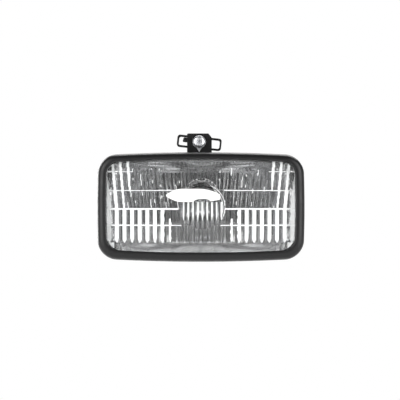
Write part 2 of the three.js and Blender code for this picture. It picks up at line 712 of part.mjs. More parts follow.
// A steel angle: a foot riveted to the housing and an upright ear that the adjuster screw passes through.
function topBracket() {
  const [low, high] = BRACKET_Z;
  const [front, back] = EAR_Y;
  const angle = sidePlate([
    [front, low + 1.2], [front + 1.2, low], [BRACKET_BACK_Y, low], [BRACKET_BACK_Y, high],
    [back + 1, high], [back, high + 1], [back, EAR_TOP_Z], [front, EAR_TOP_Z],
  ], ...EAR_X);
  const chamfer = plate([[-2.6, 0.1], [0.1, 0.1], [0.1, -3.4]], -1, 30);
  const place = new THREE.Matrix4().makeRotationX(Math.PI / 2).setPosition(EAR_X[1], 10, EAR_TOP_Z);
  const screwHole = rod(SCREW_HOLE_RADIUS, -5, 10, { x: SCREW_X, z: SCREW_Z, segments: 20 });
  const rivetHoles = RIVET_X.map((x) => verticalRod(RIVET_RADIUS + GAP, 30, 45, x, RIVET_Y));
  return cut(angle, chamfer.transform(place.elements), screwHole, ...rivetHoles);
}

const bracketRivet = (x) => union(
  verticalRod(RIVET_RADIUS, 35.6, 42, x, RIVET_Y),
  verticalRod(3.6, BRACKET_Z[1] + GAP, 42.8, x, RIVET_Y),
);

// The pieces below are drawn about the screw's axis.

const SCREW_HEAD_Y = [-2.9, 0.8];

function adjusterScrew() {
  const [face, seat] = SCREW_HEAD_Y;
  const body = turned([
    [0, face], [2.4, face + 0.15], [3.9, face + 0.8],
    [SCREW_HEAD_RADIUS, face + 2], [SCREW_HEAD_RADIUS, seat], [SCREW_RADIUS, seat],
    [SCREW_RADIUS, SCREW_TIP_Y - 1.2], [1.4, SCREW_TIP_Y], [0, SCREW_TIP_Y],
  ], { segments: 28 });
  const arm = (halfX, halfZ) => box([-halfX, face - 1, -halfZ], [halfX, face + 1.9, halfZ]);
  return cut(body, arm(1.9, 0.45), arm(0.45, 1.9));
}

// A washer with a pointed tab that hangs below the screw's head.
function tabWasher() {
  const [front, back] = [SCREW_HEAD_Y[1] + GAP, EAR_Y[0] - GAP];
  const disc = rod(5.1, front, back, { segments: 28 });
  const tab = plate([[-2.3, -4.4], [2.3, -4.4], [0, -8]], -back, -front);
  const upright = new THREE.Matrix4().makeRotationX(Math.PI / 2);
  return cut(disc.add(tab.transform(upright.elements)), rod(SCREW_HOLE_RADIUS, -5, 10, { segments: 20 }));
}

const retainingRing = () => turnedRing([
  [SCREW_RADIUS + GAP, EAR_Y[1] + GAP], [4.6, EAR_Y[1] + GAP], [4.6, 5.3], [SCREW_RADIUS + GAP, 5.3],
], { segments: 24 });

// A moulded nut with a loop on each side, which snap over the barbs of a bumper carrier.
function clipNut() {
  const [front, back] = CLIP_Y;
  const [reach, height, band] = [CLIP_HALF_WIDTH, CLIP_HALF_HEIGHT, CLIP_BAND];
  const block = box([-CLIP_BLOCK_X, front, -height - 0.8], [CLIP_BLOCK_X, back, height + 0.8]);
  const bar = box([-reach, front, -height], [reach, back, height]);
  const window = (x0, x1) => box([x0, front - 1, -height + band], [x1, back + 1, height - band]);
  const frame = cut(bar, window(-reach + band, -CLIP_BLOCK_X), window(CLIP_BLOCK_X, reach - band));
  const tongue = box([-13.2, front + 2, -0.6], [-7.5, back - 2, 3]);
  return cut(union(block, frame, tongue), rod(SCREW_RADIUS + 0.35, 0, 30, { segments: 20 }));
}

function addAdjuster(lamp) {
  lamp.add(piece("top_bracket", topBracket(), BLACK_STEEL));
  lamp.add(piece("bracket_rivet_left", bracketRivet(RIVET_X[0]), ZINC));
  lamp.add(piece("bracket_rivet_right", bracketRivet(RIVET_X[1]), ZINC));

  const axis = new THREE.Group();
  axis.position.set(SCREW_X, 0, SCREW_Z);
  axis.add(piece("adjuster_screw", adjusterScrew(), ZINC));
  axis.add(piece("tab_washer", tabWasher(), ZINC));
  axis.add(piece("retaining_ring", retainingRing(), ZINC));
  const nut = piece("clip_nut", clipNut(), NYLON);
  nut.rotation.y = CLIP_TURN;
  axis.add(nut);
  lamp.add(axis);
}

// ---- Lower supports ----

// Drawn about the pivot line, for the right-hand side.
const pivotPin = () => union(
  crossRod(PIN_RADIUS, -9.4, 5, 0, 0, 20),
  crossRod(3.4, 4, 5.4, 0, 0, 20),
);

// A bearing eye on the pin, an arm under the housing, and an upright pad that bolts to the bumper.
function supportArm() {
  const [x0, x1] = [-ARM_WIDTH / 2, ARM_WIDTH / 2];
  const eye = crossRod(EYE_RADIUS, x0, x1, 0, 0, 20);
  const strut = sidePlate([[0, -3.6], [21, -2.6], [21, 1.2], [0, 1.2]], x0, x1);
  const pad = box([-5, 20.6, -2.6], [9, 24, 16.4]);
  const rib = sidePlate([[9, 1], [21, 1], [21, 12]], -1.2, 1.2);
  const bore = crossRod(PIN_RADIUS + GAP, x0 - 1, x1 + 1, 0, 0, 20);
  const boltHole = rod(BOLT_HOLE_RADIUS, 20, 40, { x: 2, z: 8.6, segments: 16 });
  return cut(union(eye, strut, pad, rib), bore, boltHole);
}

function addSupports(lamp) {
  for (const [name, side] of [["left", -1], ["right", 1]]) {
    const pivot = new THREE.Group();
    pivot.position.set(side * PIVOT_X, PIVOT_Y, PIVOT_Z);
    const mirror = new THREE.Matrix4().makeScale(side, 1, 1);
    const handed = (shape) => (side > 0 ? shape : shape.transform(mirror.elements));
    pivot.add(piece(`pivot_pin_${name}`, handed(pivotPin()), ZINC));
    pivot.add(piece(`support_arm_${name}`, handed(supportArm()), NYLON));
    lamp.add(pivot);
  }
}

// ---- Assembly ----

const fogLight = new THREE.Group();
addFront(fogLight);
addBulb(fogLight);
addHousing(fogLight);
addAdjuster(fogLight);
addSupports(fogLight);

export default fogLight;
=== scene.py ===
"""Fog light: finished meshes and materials around the CAD frame.

Lengths are in millimetres until they become vertices. +X is to the right seen from the front, +Y to the rear,
+Z up, and the origin is on the optical axis in the plane of the bezel's rear edge.
"""

import math

import bmesh
import bpy
from mathutils import Matrix, Vector


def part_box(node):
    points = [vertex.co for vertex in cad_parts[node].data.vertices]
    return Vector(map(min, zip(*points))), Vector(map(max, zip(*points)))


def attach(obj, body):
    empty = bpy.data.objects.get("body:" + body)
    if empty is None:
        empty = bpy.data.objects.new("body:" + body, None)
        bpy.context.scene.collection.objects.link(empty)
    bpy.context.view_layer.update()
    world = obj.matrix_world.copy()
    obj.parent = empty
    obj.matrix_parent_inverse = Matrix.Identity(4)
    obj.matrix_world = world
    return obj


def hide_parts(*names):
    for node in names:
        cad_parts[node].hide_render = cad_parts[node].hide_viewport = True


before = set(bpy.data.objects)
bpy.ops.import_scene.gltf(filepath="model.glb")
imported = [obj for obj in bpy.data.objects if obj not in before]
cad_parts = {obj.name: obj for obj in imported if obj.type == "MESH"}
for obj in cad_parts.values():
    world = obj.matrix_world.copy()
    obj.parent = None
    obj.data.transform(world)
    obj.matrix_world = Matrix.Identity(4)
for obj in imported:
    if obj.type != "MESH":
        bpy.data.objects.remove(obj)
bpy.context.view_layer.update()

MM = 0.001
TAU = 2 * math.pi
QUARTER = math.pi / 2


def box_mm(node):
    """The lowest and highest corners of a CAD node, in millimetres."""
    low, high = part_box(node)
    return Vector(low) / MM, Vector(high) / MM


# ---- Driving dimensions, as in the CAD ----

BEZEL_LOW, BEZEL_HIGH = box_mm("bezel")
HALF_WIDTH = BEZEL_HIGH.x
HALF_HEIGHT = BEZEL_HIGH.z
BEZEL_FRONT = BEZEL_LOW.y
SIDE_BOW = 1.0
TOP_BOW = 2.4
CORNER_RADIUS = 14.0
LIP_WIDTH = 5.4
LIP_EXTRA = 1.9
FRAME_CLEARANCE = 3.0

LENS_LOW, LENS_HIGH = box_mm("lens")
LENS_EDGE = -14.6
LENS_FLANGE = (-12.5, LENS_HIGH.y)
LENS_THICKNESS = 3.7
LENS_INSET = LIP_WIDTH + 0.5
LENS_HALF_WIDTH = HALF_WIDTH - LENS_INSET - LIP_EXTRA
LENS_TOP = HALF_HEIGHT - LENS_INSET
LENS_BOTTOM = LENS_TOP - LIP_EXTRA
DOME_RISE = LENS_EDGE - LENS_LOW.y

FOCAL_LENGTH = 25.0
VERTEX = 42.0
REFLECTOR_LOW, REFLECTOR_HIGH = box_mm("reflector")
REFLECTOR_INSET = 7.3
REFLECTOR_WALL = 1.3
REFLECTOR_DRAFT = 0.84
REFLECTOR_BACKING = 1.6
RIM_INSET = 4.9
RIM_THICKNESS = 1.8
COLLAR_RADIUS = 18.0
BULB_HOLE_RADIUS = 8.6


# ---- Mesh helpers ----


def shade(obj, sharp):
    """Shades a piece smooth, but for edges that turn by more than sharp degrees."""
    for polygon in obj.data.polygons:
        polygon.use_smooth = True
    obj.data.set_sharp_from_angle(angle=math.radians(sharp))


def linked(bm, name):
    """A bmesh, drawn in millimetres, as an object in the scene with its faces pointing out."""
    bmesh.ops.scale(bm, vec=(MM, MM, MM), verts=bm.verts)
    bmesh.ops.recalc_face_normals(bm, faces=bm.faces)
    mesh = bpy.data.meshes.new(name)
    bm.to_mesh(mesh)
    bm.free()
    obj = bpy.data.objects.new(name, mesh)
    bpy.context.scene.collection.objects.link(obj)
    return obj


def finish(bm, name, slot, *replaced, body="lamp", material=None, sharp=38.0):
    """Makes a piece of a bmesh, rides it on a body and hides the CAD nodes it stands for."""
    obj = linked(bm, name)
    obj.data.materials.append(material or MATERIALS[slot])
    shade(obj, sharp)
    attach(obj, body)
    if replaced:
        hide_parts(*replaced)
    return obj


def cut(obj, *solids, sharp=30.0):
    """Cuts bmesh solids, drawn in millimetres, out of a finished piece."""
    for bm in solids:
        tool = linked(bm, "tool")
        modifier = obj.modifiers.new("cut", "BOOLEAN")
        modifier.operation = "DIFFERENCE"
        modifier.solver = "EXACT"
        modifier.object = tool
        depsgraph = bpy.context.evaluated_depsgraph_get()
        result = bpy.data.meshes.new_from_object(obj.evaluated_get(depsgraph), depsgraph=depsgraph)
        obj.modifiers.remove(modifier)
        obj.data = result
        bpy.data.objects.remove(tool)
    shade(obj, sharp)
    return obj


def shape(build, *args, **settings):
    """A bmesh made by one of the add_ functions."""
    bm = bmesh.new()
    build(bm, *args, **settings)
    return bm


def add_bmesh(bm, other):
    """Moves all of another bmesh into bm."""
    mesh = bpy.data.meshes.new("other")
    other.to_mesh(mesh)
    other.free()
    bm.from_mesh(mesh)
    bpy.data.meshes.remove(mesh)


def moved(bm, matrix):
    """A bmesh, after it has been moved by a matrix."""
    bmesh.ops.transform(bm, matrix=matrix, verts=bm.verts)
    return bm


def at(x, y, z):
    return Matrix.Translation((x, y, z))


# Turns that stand a lathe's body upright, or lay it along X.
UPRIGHT = Matrix.Rotation(QUARTER, 4, "X")
ACROSS = Matrix.Rotation(-QUARTER, 4, "Z")


def skin(bm, rings, joined):
    """Faces between rings of vertices. Joined, the last ring meets the first."""
    count = len(rings[0])
    pairs = list(zip(rings, rings[1:]))
    if joined:
        pairs.append((rings[-1], rings[0]))
    for near, far in pairs:
        for i in range(count):
            j = (i + 1) % count
            bm.faces.new((near[i], near[j], far[j], far[i]))


def add_rings(bm, rings, joined=False):
    """A skin over rings with equal numbers of points, closed by two caps or joined into a loop."""
    verts = [[bm.verts.new(p) for p in ring] for ring in rings]
    skin(bm, verts, joined)
    if not joined:
        bm.faces.new(verts[0][::-1])
        bm.faces.new(verts[-1])


def add_lathe(bm, profile, segments=64, x=0.0, z=0.0, joined=False, wave=None):
    """A body turned about the Y axis through (x, z), from (radius, y) points.

    wave(radius, y, angle) may change the radius round the turn.
    """
    turn = [TAU * i / segments for i in range(segments)]
    rings = []
    poles = []
    for radius, y in profile:
        if radius < 1e-6:
            poles.append((len(rings), bm.verts.new((x, y, z))))
            continue
        reach = [wave(radius, y, a) if wave else radius for a in turn]
        rings.append([bm.verts.new((x + r * math.cos(a), y, z + r * math.sin(a)))
                      for r, a in zip(reach, turn)])
    skin(bm, rings, joined)
    for index, pole in poles:
        ring = rings[0] if index == 0 else rings[-1]
        for i in range(segments):
            bm.faces.new((ring[i], ring[(i + 1) % segments], pole))


def bend(before, here, after, radius, steps=5, limit=math.inf):
    """Points round the corner at here, starting radius short of it, or a limited share of a side."""
    a, b, c = Vector(before), Vector(here), Vector(after)
    reach = min(radius, (a - b).length * limit, (c - b).length * limit)
    start, end = b + (a - b).normalized() * reach, b + (c - b).normalized() * reach
    return [tuple((1 - t) ** 2 * start + 2 * t * (1 - t) * b + t ** 2 * end)
            for t in (k / steps for k in range(steps + 1))]


def softened(points, radius, steps=3):
    """A line of points with its inner corners rounded."""
    out = [points[0]]
    for before, here, after in zip(points, points[1:], points[2:]):
        out += bend(before, here, after, radius, steps, 0.45)
    return out + [points[-1]]


def turned(points, radius, steps, segments, **settings):
    """A turned body whose profile has rounded corners."""
    return shape(add_lathe, softened(points, radius, steps), segments, **settings)


def rod(radius, low, high, segments, x=0.0, z=0.0):
    """A cylinder along Y, to cut a hole with."""
    return shape(add_lathe, [(0, low), (radius, low), (radius, high), (0, high)], segments, x, z)


def smooth_path(points, steps=4):
    """A Catmull-Rom path through points, with equal steps from each point to the next."""
    vectors = [Vector(p) for p in points]
    padded = [vectors[0] * 2 - vectors[1]] + vectors + [vectors[-1] * 2 - vectors[-2]]
    out = []
    for a, b, c, d in zip(padded, padded[1:], padded[2:], padded[3:]):
        for k in range(steps):
            t = k / steps
            out.append(0.5 * (2 * b + (c - a) * t + (2 * a - 5 * b + 4 * c - d) * t * t
                              + (3 * b - a - 3 * c + d) * t ** 3))
    out.append(vectors[-1])
    return [tuple(v) for v in out]


def add_tube(bm, path, radius, sides=12):
    """A round wire swept along a path, with flat ends."""
    points = [Vector(p) for p in path]
    tangents = [(b - a).normalized() for a, b in zip([points[0]] + points[:-1], points[1:] + [points[-1]])]
    across = tangents[0].orthogonal().normalized()
    turn = [TAU * i / sides for i in range(sides)]
    rings = []
    for point, tangent in zip(points, tangents):
        across = (across - tangent * across.dot(tangent)).normalized()
        other = tangent.cross(across)
        rings.append([tuple(point + radius * (math.cos(a) * across + math.sin(a) * other)) for a in turn])
    add_rings(bm, rings)


def add_strip(bm, stations, thickness, edge=0.15):
    """Sheet metal along a bent line of (y, z, x0, x1) stations, with softened edges."""
    line = [Vector((y, z)) for y, z, *_ in stations]
    half = thickness / 2
    rings = []
    for i, (y, z, x0, x1) in enumerate(stations):
        along = (line[min(i + 1, len(line) - 1)] - line[max(i - 1, 0)]).normalized()
        c = min(edge, half * 0.8, (x1 - x0) * 0.3)
        section = [(x0 + c, half), (x1 - c, half), (x1, half - c), (x1, c - half), (x1 - c, -half),
                   (x0 + c, -half), (x0, c - half), (x0, half - c)]
        rings.append([(x, y - along.y * d, z + along.x * d) for x, d in section])
    add_rings(bm, rings)


def rectangle(x0, z0, x1, z1, radius, steps=5):
    """A rectangle's outline with round corners, always with the same number of points."""
    radius = min(radius, (x1 - x0) / 2 - 1e-3, (z1 - z0) / 2 - 1e-3)
    corners = ((x1 - radius, z1 - radius), (x0 + radius, z1 - radius), (x0 + radius, z0 + radius),
               (x1 - radius, z0 + radius))
    out = []
    for start, (cx, cz) in enumerate(corners):
        for k in range(steps + 1):
            a = (start + k / steps) * QUARTER
            out.append((cx + radius * math.cos(a), cz + radius * math.sin(a)))
    return out


# The order in which an outline's two coordinates and its depth make up x, y and z, by the axis of the depth.
PLACING = {"x": (2, 0, 1), "y": (0, 2, 1), "z": (0, 1, 2)}


def placed(points, depth, axis):
    """A 2D outline as a ring at a depth along an axis."""
    return [tuple((u, v, depth)[k] for k in PLACING[axis]) for u, v in points]


def add_block(bm, low, high, corner=0.8, edge=0.3, axis="y"):
    """A box with round corners about one axis and rolled edges at both ends of it."""
    order = [PLACING[axis].index(k) for k in range(3)]
    (u0, v0, d0), (u1, v1, d1) = ([c[k] for k in order] for c in (low, high))
    rings = []
    for inset, depth in ((edge, d0), (edge * 0.3, d0 + edge * 0.3), (0, d0 + edge), (0, d1 - edge),
                         (edge * 0.3, d1 - edge * 0.3), (edge, d1)):
        points = rectangle(u0 + inset, v0 + inset, u1 - inset, v1 - inset, max(corner - inset, 0.05))
        rings.append(placed(points, depth, axis))
    add_rings(bm, rings)


def add_prism(bm, points, low, high, axis):
    """An outline extruded along one axis."""
    add_rings(bm, [placed(points, low, axis), placed(points, high, axis)])


def add_bevelled_prism(bm, points, low, high, axis, width=0.3, segments=2):
    """An extruded outline with its sharp edges rolled."""
    own = shape(add_prism, points, low, high, axis)
    bmesh.ops.recalc_face_normals(own, faces=own.faces)
    limit = math.radians(32)
    edges = [e for e in own.edges if len(e.link_faces) == 2 and e.calc_face_angle(0) > limit]
    bmesh.ops.bevel(own, geom=edges, offset=width, offset_type="OFFSET", segments=segments, profile=0.5,
                    affect="EDGES", clamp_overlap=True)
    add_bmesh(bm, own)


def soften_rings(rings, share=0.32, steps=5):
    """Rings whose bends along the skin are rounded over a share of the distance to their neighbours."""
    def between(a, b, t):
        return [tuple(Vector(p).lerp(Vector(q), t)) for p, q in zip(a, b)]

    out = [rings[0]]
    for before, here, after in zip(rings, rings[1:], rings[2:]):
        start, end = between(here, before, share), between(here, after, share)
        for t in (k / steps for k in range(steps + 1)):
            out.append(between(between(start, here, t), between(here, end, t), t))
    return out + [rings[-1]]


# ---- Materials ----


def node_tools(tree):
    """Two functions: one fills a node's inputs with values or linked sockets, one adds a filled node."""
    def fill(node, values):
        for key, value in values.items():
            if isinstance(value, bpy.types.NodeSocket):
                tree.links.new(value, node.inputs[key])
            else:
                node.inputs[key].default_value = value

    def add(kind, values):
        node = tree.nodes.new(kind)
        fill(node, values)
        return node

    return fill, add


def node_material(name):
    """A node material, what adds nodes to it, its Principled shader's filler and its object coordinates."""
    material = bpy.data.materials.new(name)
    material.use_nodes = True
    fill, add = node_tools(material.node_tree)
    shader = material.node_tree.nodes["Principled BSDF"]
    coords = add("ShaderNodeTexCoord", {}).outputs["Object"]
    return material, add, lambda values: fill(shader, values), coords


def noise(add, coords, scale, detail=3.0):
    node = add("ShaderNodeTexNoise", {"Vector": coords, "Scale": scale, "Detail": detail})
    return node.outputs["Fac"]


def two_tones(add, factor, dark, light, start=0.0, stop=1.0):
    """A colour that runs from dark to light as a factor goes from start to stop."""
    ramp = add("ShaderNodeValToRGB", {"Fac": factor})
    for element, place, colour in zip(ramp.color_ramp.elements, (start, stop), (dark, light)):
        element.position = place
        element.color = (*colour, 1)
    return ramp.outputs["Color"]


def surface(name, colour, roughness, variation, grain, bump, wear=0.05, metallic=0.0, specular=0.5,
            stretch=(1, 1, 1)):
    """A solid surface: uneven colour, roughness that drifts, and a fine grain in its normal.

    variation is the share by which the colour drifts, grain the grain's scale per metre, bump its depth in
    millimetres and wear the drift in roughness. stretch draws the grain out, as on drawn metal.
    """
    material, add, finish_shader, coords = node_material(name)
    dark = [c * (1 - variation) for c in colour]
    light = [min(1.0, c * (1 + variation)) for c in colour]
    grain_coords = add("ShaderNodeMapping", {"Vector": coords, "Scale": stretch}).outputs["Vector"]
    drift = add("ShaderNodeMapRange", {
        "Value": noise(add, grain_coords, 260.0), "From Min": 0.3, "From Max": 0.7,
        "To Min": max(0.02, roughness - wear), "To Max": roughness + wear,
    })
    relief = add("ShaderNodeBump", {
        "Strength": 0.6, "Distance": bump * MM, "Height": noise(add, grain_coords, grain, 2.0),
    })
    finish_shader({
        "Base Color": two_tones(add, noise(add, coords, 90.0), dark, light, 0.3, 0.7),
        "Roughness": drift.outputs["Result"], "Normal": relief.outputs["Normal"], "Metallic": metallic,
        "Specular IOR Level": specular,
    })
    return material


def glass(name, tint, roughness, ior=1.5):
    """Glass with a very faint haze in its tint."""
    material, add, finish_shader, coords = node_material(name)
    colour = two_tones(add, noise(add, coords, 60.0), [c * 0.985 for c in tint], tint)
    finish_shader({"Base Color": colour, "Roughness": roughness, "IOR": ior, "Transmission Weight": 1.0})
    return material


MATERIALS = {
    "bezel_plastic": surface("bezel_plastic", (0.009, 0.009, 0.0093), 0.42, 0.12, 2600, 0.014, specular=0.3),
    "housing_plastic": surface("housing_plastic", (0.028, 0.028, 0.029), 0.46, 0.2, 1500, 0.03, 0.08),
    "nylon": surface("nylon", (0.011, 0.011, 0.0115), 0.42, 0.15, 2000, 0.02, 0.06, specular=0.4),
    "rubber": surface("soft_rubber", (0.019, 0.019, 0.019), 0.6, 0.2, 1800, 0.03, 0.08),
    "mirror": surface("mirror", (0.88, 0.88, 0.885), 0.08, 0.01, 300, 0.0004, 0.012, 1.0),
    "bright_steel": surface("bright_steel", (0.72, 0.72, 0.73), 0.14, 0.05, 1200, 0.003, 0.05, 1.0),
    "zinc_steel": surface("zinc_steel", (0.66, 0.67, 0.69), 0.44, 0.14, 1500, 0.006, 0.1, 1.0),
    "black_steel": surface("black_steel", (0.008, 0.008, 0.0083), 0.38, 0.2, 2200, 0.014, 0.08, specular=0.3),
    "brass": surface("brass", (0.72, 0.53, 0.25), 0.28, 0.12, 1600, 0.005, 0.08, 1.0, stretch=(1, 0.12, 1)),
    "tungsten": surface("tungsten", (0.3, 0.3, 0.3), 0.45, 0.15, 4000, 0.004, 0.1, 1.0),
    "live_insulation": surface("live_insulation", (0.25, 0.016, 0.012), 0.45, 0.1, 1500, 0.01),
    "ground_insulation": surface("ground_insulation", (0.06, 0.03, 0.016), 0.45, 0.1, 1500, 0.01),
    "lens_glass": glass("lens_glass", (0.96, 0.965, 0.963), 0.0),
    "quartz": glass("quartz", (0.98, 0.98, 0.975), 0.01, 1.46),
}
PAD_WHITE = surface("satin_white", (0.86, 0.86, 0.85), 0.5, 0.03, 900, 0.006, 0.08)
# The finishes of the lens's pressed side after its clear one, which are painted highlight and painted shade.
# Satin white on crests, ridges and edges: painted highlight for the mirror's bright refractions.
SATIN_HIGHLIGHT_GLASS = surface("lens_glass_satin_highlight", (0.8, 0.81, 0.81), 0.3, 0.04, 900, 0.01, 0.1)
# Rough glass whose grey tint darkens streaks, the curved ridge and the top and bottom bands: painted shade.
FROSTED_SHADE_GLASS = glass("lens_glass_frosted_shade", (0.4, 0.405, 0.403), 0.2)
# Near-black glass for the thin arcs above the pad: painted shade.
PAINTED_SHADE_GLASS = glass("lens_glass_painted_shade", (0.002, 0.002, 0.002), 0.1)


# ---- Outlines ----


def outline(inset, extra=0.0, side_steps=8, corner_steps=14, top_steps=26):
    """Points of the bezel's outline moved inwards by inset, and by extra more at the sides and the bottom."""
    half_width = HALF_WIDTH - SIDE_BOW - inset - extra
    radius = max(CORNER_RADIUS - inset, 4.0)

    def quarter(half_height):
        points = [(half_width, (half_height - radius) * i / side_steps) for i in range(side_steps)]
        for i in range(corner_steps):
            a = QUARTER * i / corner_steps
            points.append((half_width - radius + radius * math.cos(a),
                           half_height - radius + radius * math.sin(a)))
        points += [((half_width - radius) * (1 - i / top_steps), half_height) for i in range(top_steps)]
        return [(x + SIDE_BOW * (1 - (z / half_height) ** 2) * x / half_width,
                 z + TOP_BOW * (1 - (x / half_width) ** 2) * z / half_height) for x, z in points]

    top = quarter(HALF_HEIGHT - TOP_BOW - inset)
    bottom = quarter(HALF_HEIGHT - TOP_BOW - inset - extra)
    return (top + [(0.0, HALF_HEIGHT - inset)] + [(-x, z) for x, z in top[:0:-1]]
            + [(-x, -z) for x, z in bottom] + [(0.0, -(HALF_HEIGHT - inset - extra))]
            + [(x, -z) for x, z in bottom[:0:-1]])


def ring_at(points, y):
    """Outline points as a ring at depth y, which may be a function of x and z."""
    return [(x, y(x, z) if callable(y) else y, z) for x, z in points]


# ---- Bezel ----

SCREW_PLACES = ("top_left", "top_right", "bottom_left", "bottom_right")


def screw_frame(place):
    """Placement of a bezel screw: on the bezel's wall, with its Y axis pointing out."""
    low, high = box_mm(f"bezel_screw_{place}")
    x, y, z = (low + high) / 2
    side = 1 if z > 0 else -1
    return at(x, y, high.z if side > 0 else low.z) @ Matrix.Rotation(side * QUARTER, 4, "X")


def bezel():
    """The frame: a rounded front that rolls over into the lip around the lens, with four countersinks."""
    front = smooth_path([
        (0.9, -0.2, 0), (0.35, -0.9, 0), (0.05, -2.6, 0), (0, -6, 0), (0, -9.5, 0), (0.5, -12.8, 0),
        (1.6, -15.2, 0.1), (3.1, -16.35, 0.5), (4.3, BEZEL_FRONT, 0.8), (5.1, -16.3, 0.98),
        (LIP_WIDTH, -15.7, 1),
    ])
    back = [(LIP_WIDTH, -13.1, 1), (LIP_WIDTH - 0.1, -12.8, 0.98), (2.9, -12.8, 0), (2.6, -12.5, 0),
            (2.6, -0.3, 0), (2.4, 0, 0), (1.2, 0, 0)]
    rings = [ring_at(outline(inset, share * LIP_EXTRA), y) for inset, y, share in front + back]
    obj = finish(shape(add_rings, rings, joined=True), "bezel_frame", "bezel_plastic", "bezel")
    sink = [(0, 2), (3.2, 2), (3.2, -0.15), (1.6, -2.1), (1.6, -6), (0, -6)]
    cut(obj, *[moved(shape(add_lathe, sink, 40), screw_frame(place)) for place in SCREW_PLACES])


def cross_recess(reach, half, depth, y=0.0, towards=-1):
    """A tapered cross to cut into a screw's head, from just outside y to depth inside it."""
    def cross(scale):
        a, b = reach * scale, half * (0.4 + 0.6 * scale)
        return [(a, -b), (a, b), (b, b), (b, a), (-b, a), (-b, b), (-a, b), (-a, -b), (-b, -b), (-b, -a),
                (b, -a), (b, -b)]

    return shape(add_rings, [ring_at(cross(1.1), y - towards * 0.4),
                             ring_at(cross(0.35), y + towards * depth)])


def bezel_screws():
    """Countersunk cross-head screws, each with a threaded shank."""
    head = softened([(0, 0), (2.6, 0), (2.9, -0.12), (1.35, -2.0), (1.25, -2.4)], 0.1, 2)
    thread = []
    y = -2.4
    while y > -4.6:
        thread += [(1.25, y), (1.3, y - 0.2), (1.0, y - 0.42)]
        y -= 0.55
    for place in SCREW_PLACES:
        turn = screw_frame(place)
        bm = shape(add_lathe, head + thread[1:] + [(0.6, -5.1), (0, -5.2)], 36)
        obj = finish(moved(bm, turn), f"frame_screw_{place}", "zinc_steel", f"bezel_screw_{place}")
        cut(obj, moved(cross_recess(1.5, 0.36, 1.4), turn @ Matrix.Rotation(math.pi, 4, "Z")))


# ---- Lens ----

# Upright flutes: coarse ones, which lean outwards above the middle, and finer ones between them.
FLUTE_PITCH = 5.85
FLUTE_DEPTH = 0.3
FINE_DEPTH = 0.38
LOW_FINE_DEPTH = 0.3
LEAN = 0.1
# The horizontal ridges: height above the axis, width, share of the width that is satin white as a painted
# highlight, and how far from the middle the painted highlight starts and stops.
RIDGES = [(27.1, 1.6, 0.3, 52, 80), (12.6, 1.2, 0.36, 18, 80), (-1.4, 1.5, 0.8, 17, 80),
          (-13.9, 1.1, 0.6, 15, 80)]
RIDGE_DEPTH = 0.35
MIDDLE_RIDGE, UPPER_RIDGE = -1.4, 12.6
# The clear band near the top: from height to height, as far from the middle as the third number.
CLEAR_BAND = (31.6, 34.4, 41)
PLAIN_BELOW = -27.6
PLAIN_ABOVE = 29.5
# Satin white beyond this distance from the middle and in the lower corners: a painted highlight along the
# lens's edge.
SATIN_HIGHLIGHT_EDGE = 70.9
SATIN_HIGHLIGHT_CORNER = (66.5, -31.5)
# The curved ridge above the pad, and its bands of painted shade as distances from its centre: a thin line
# outside it, and a crescent inside it that is as thick as the last number at the top.
BROW_CENTRE = (0.5, 7.6)
BROW_RADIUS = 12.4
BROW_WIDTH = 2.4
BROW_DEPTH = 0.9
PAINTED_SHADE_LINE = (12.8, 13.6)
SHADE_CRESCENT_EDGE = 11.1
SHADE_CRESCENT_WIDTH = 3.2
# The round zone in the middle, with flutes of its own.
EYE_CENTRE = (1.3, 0.0)
EYE_RADIUS = 17.5
EYE_PITCH = 3.6
EYE_DEPTH = 0.42
# The finishes, as places in the lens's list of materials: clear glass, then painted highlight and painted
# shade.
CLEAR, SATIN_HIGHLIGHT, FROSTED_SHADE, PAINTED_SHADE = 0, 1, 2, 3


def limited(value):
    """A value kept between 0 and 1."""
    return min(1.0, max(0.0, value))


def off_crest(x, pitch):
    """How far x is from the nearest flute's crest, from 0 on the crest to 1 between two flutes."""
    return abs((x / pitch + 0.5) % 1.0 - 0.5) * 2


def flute(x, pitch, depth):
    """Depth of a row of convex flutes at x."""
    return depth * (1 - off_crest(x, pitch) ** 2)


def leaning(x, z):
    """x along the upper flutes, which spread outwards with height."""
    return x - math.copysign(LEAN * (z - MIDDLE_RIDGE), x)


def from_brow(x, z):
    """Distance from the curved ridge's centre, or nothing below it."""
    return math.hypot(x - BROW_CENTRE[0], z - BROW_CENTRE[1]) if z > BROW_CENTRE[1] else 0.0


def dome(x, z):
    """How far the lens stands in front of its edge at (x, z)."""
    tall = LENS_TOP if z > 0 else LENS_BOTTOM
    return DOME_RISE * max(0.0, 1 - (x / LENS_HALF_WIDTH) ** 2) * max(0.0, 1 - (z / tall) ** 2)


def painted_shade_band(x, z):
    """Whether (x, z) is in one of the bands of painted shade above the pad."""
    up = z - BROW_CENTRE[1]
    if up <= 2:
        return False
    reach = from_brow(x, z)
    shade_crescent = SHADE_CRESCENT_WIDTH * (1.6 * up / reach - 0.6)
    return PAINTED_SHADE_LINE[0] < reach < PAINTED_SHADE_LINE[1] or SHADE_CRESCENT_EDGE - shade_crescent < reach < SHADE_CRESCENT_EDGE


def eye_look(ex, ez, distance):
    """The finish of the round zone: satin-white crests in its lower half and two thin satin-white arcs at its
    right edge, painted highlights.
    """
    on_arc = distance > EYE_RADIUS - 0.5 or EYE_RADIUS - 2.1 < distance < EYE_RADIUS - 1.6
    if ex > 4 and ez > -7 and on_arc:
        return SATIN_HIGHLIGHT
    share = 0.4 * limited((ez + 11) / 5) if ez < 4 else 0.0
    return SATIN_HIGHLIGHT if off_crest(ex, EYE_PITCH) < share else CLEAR


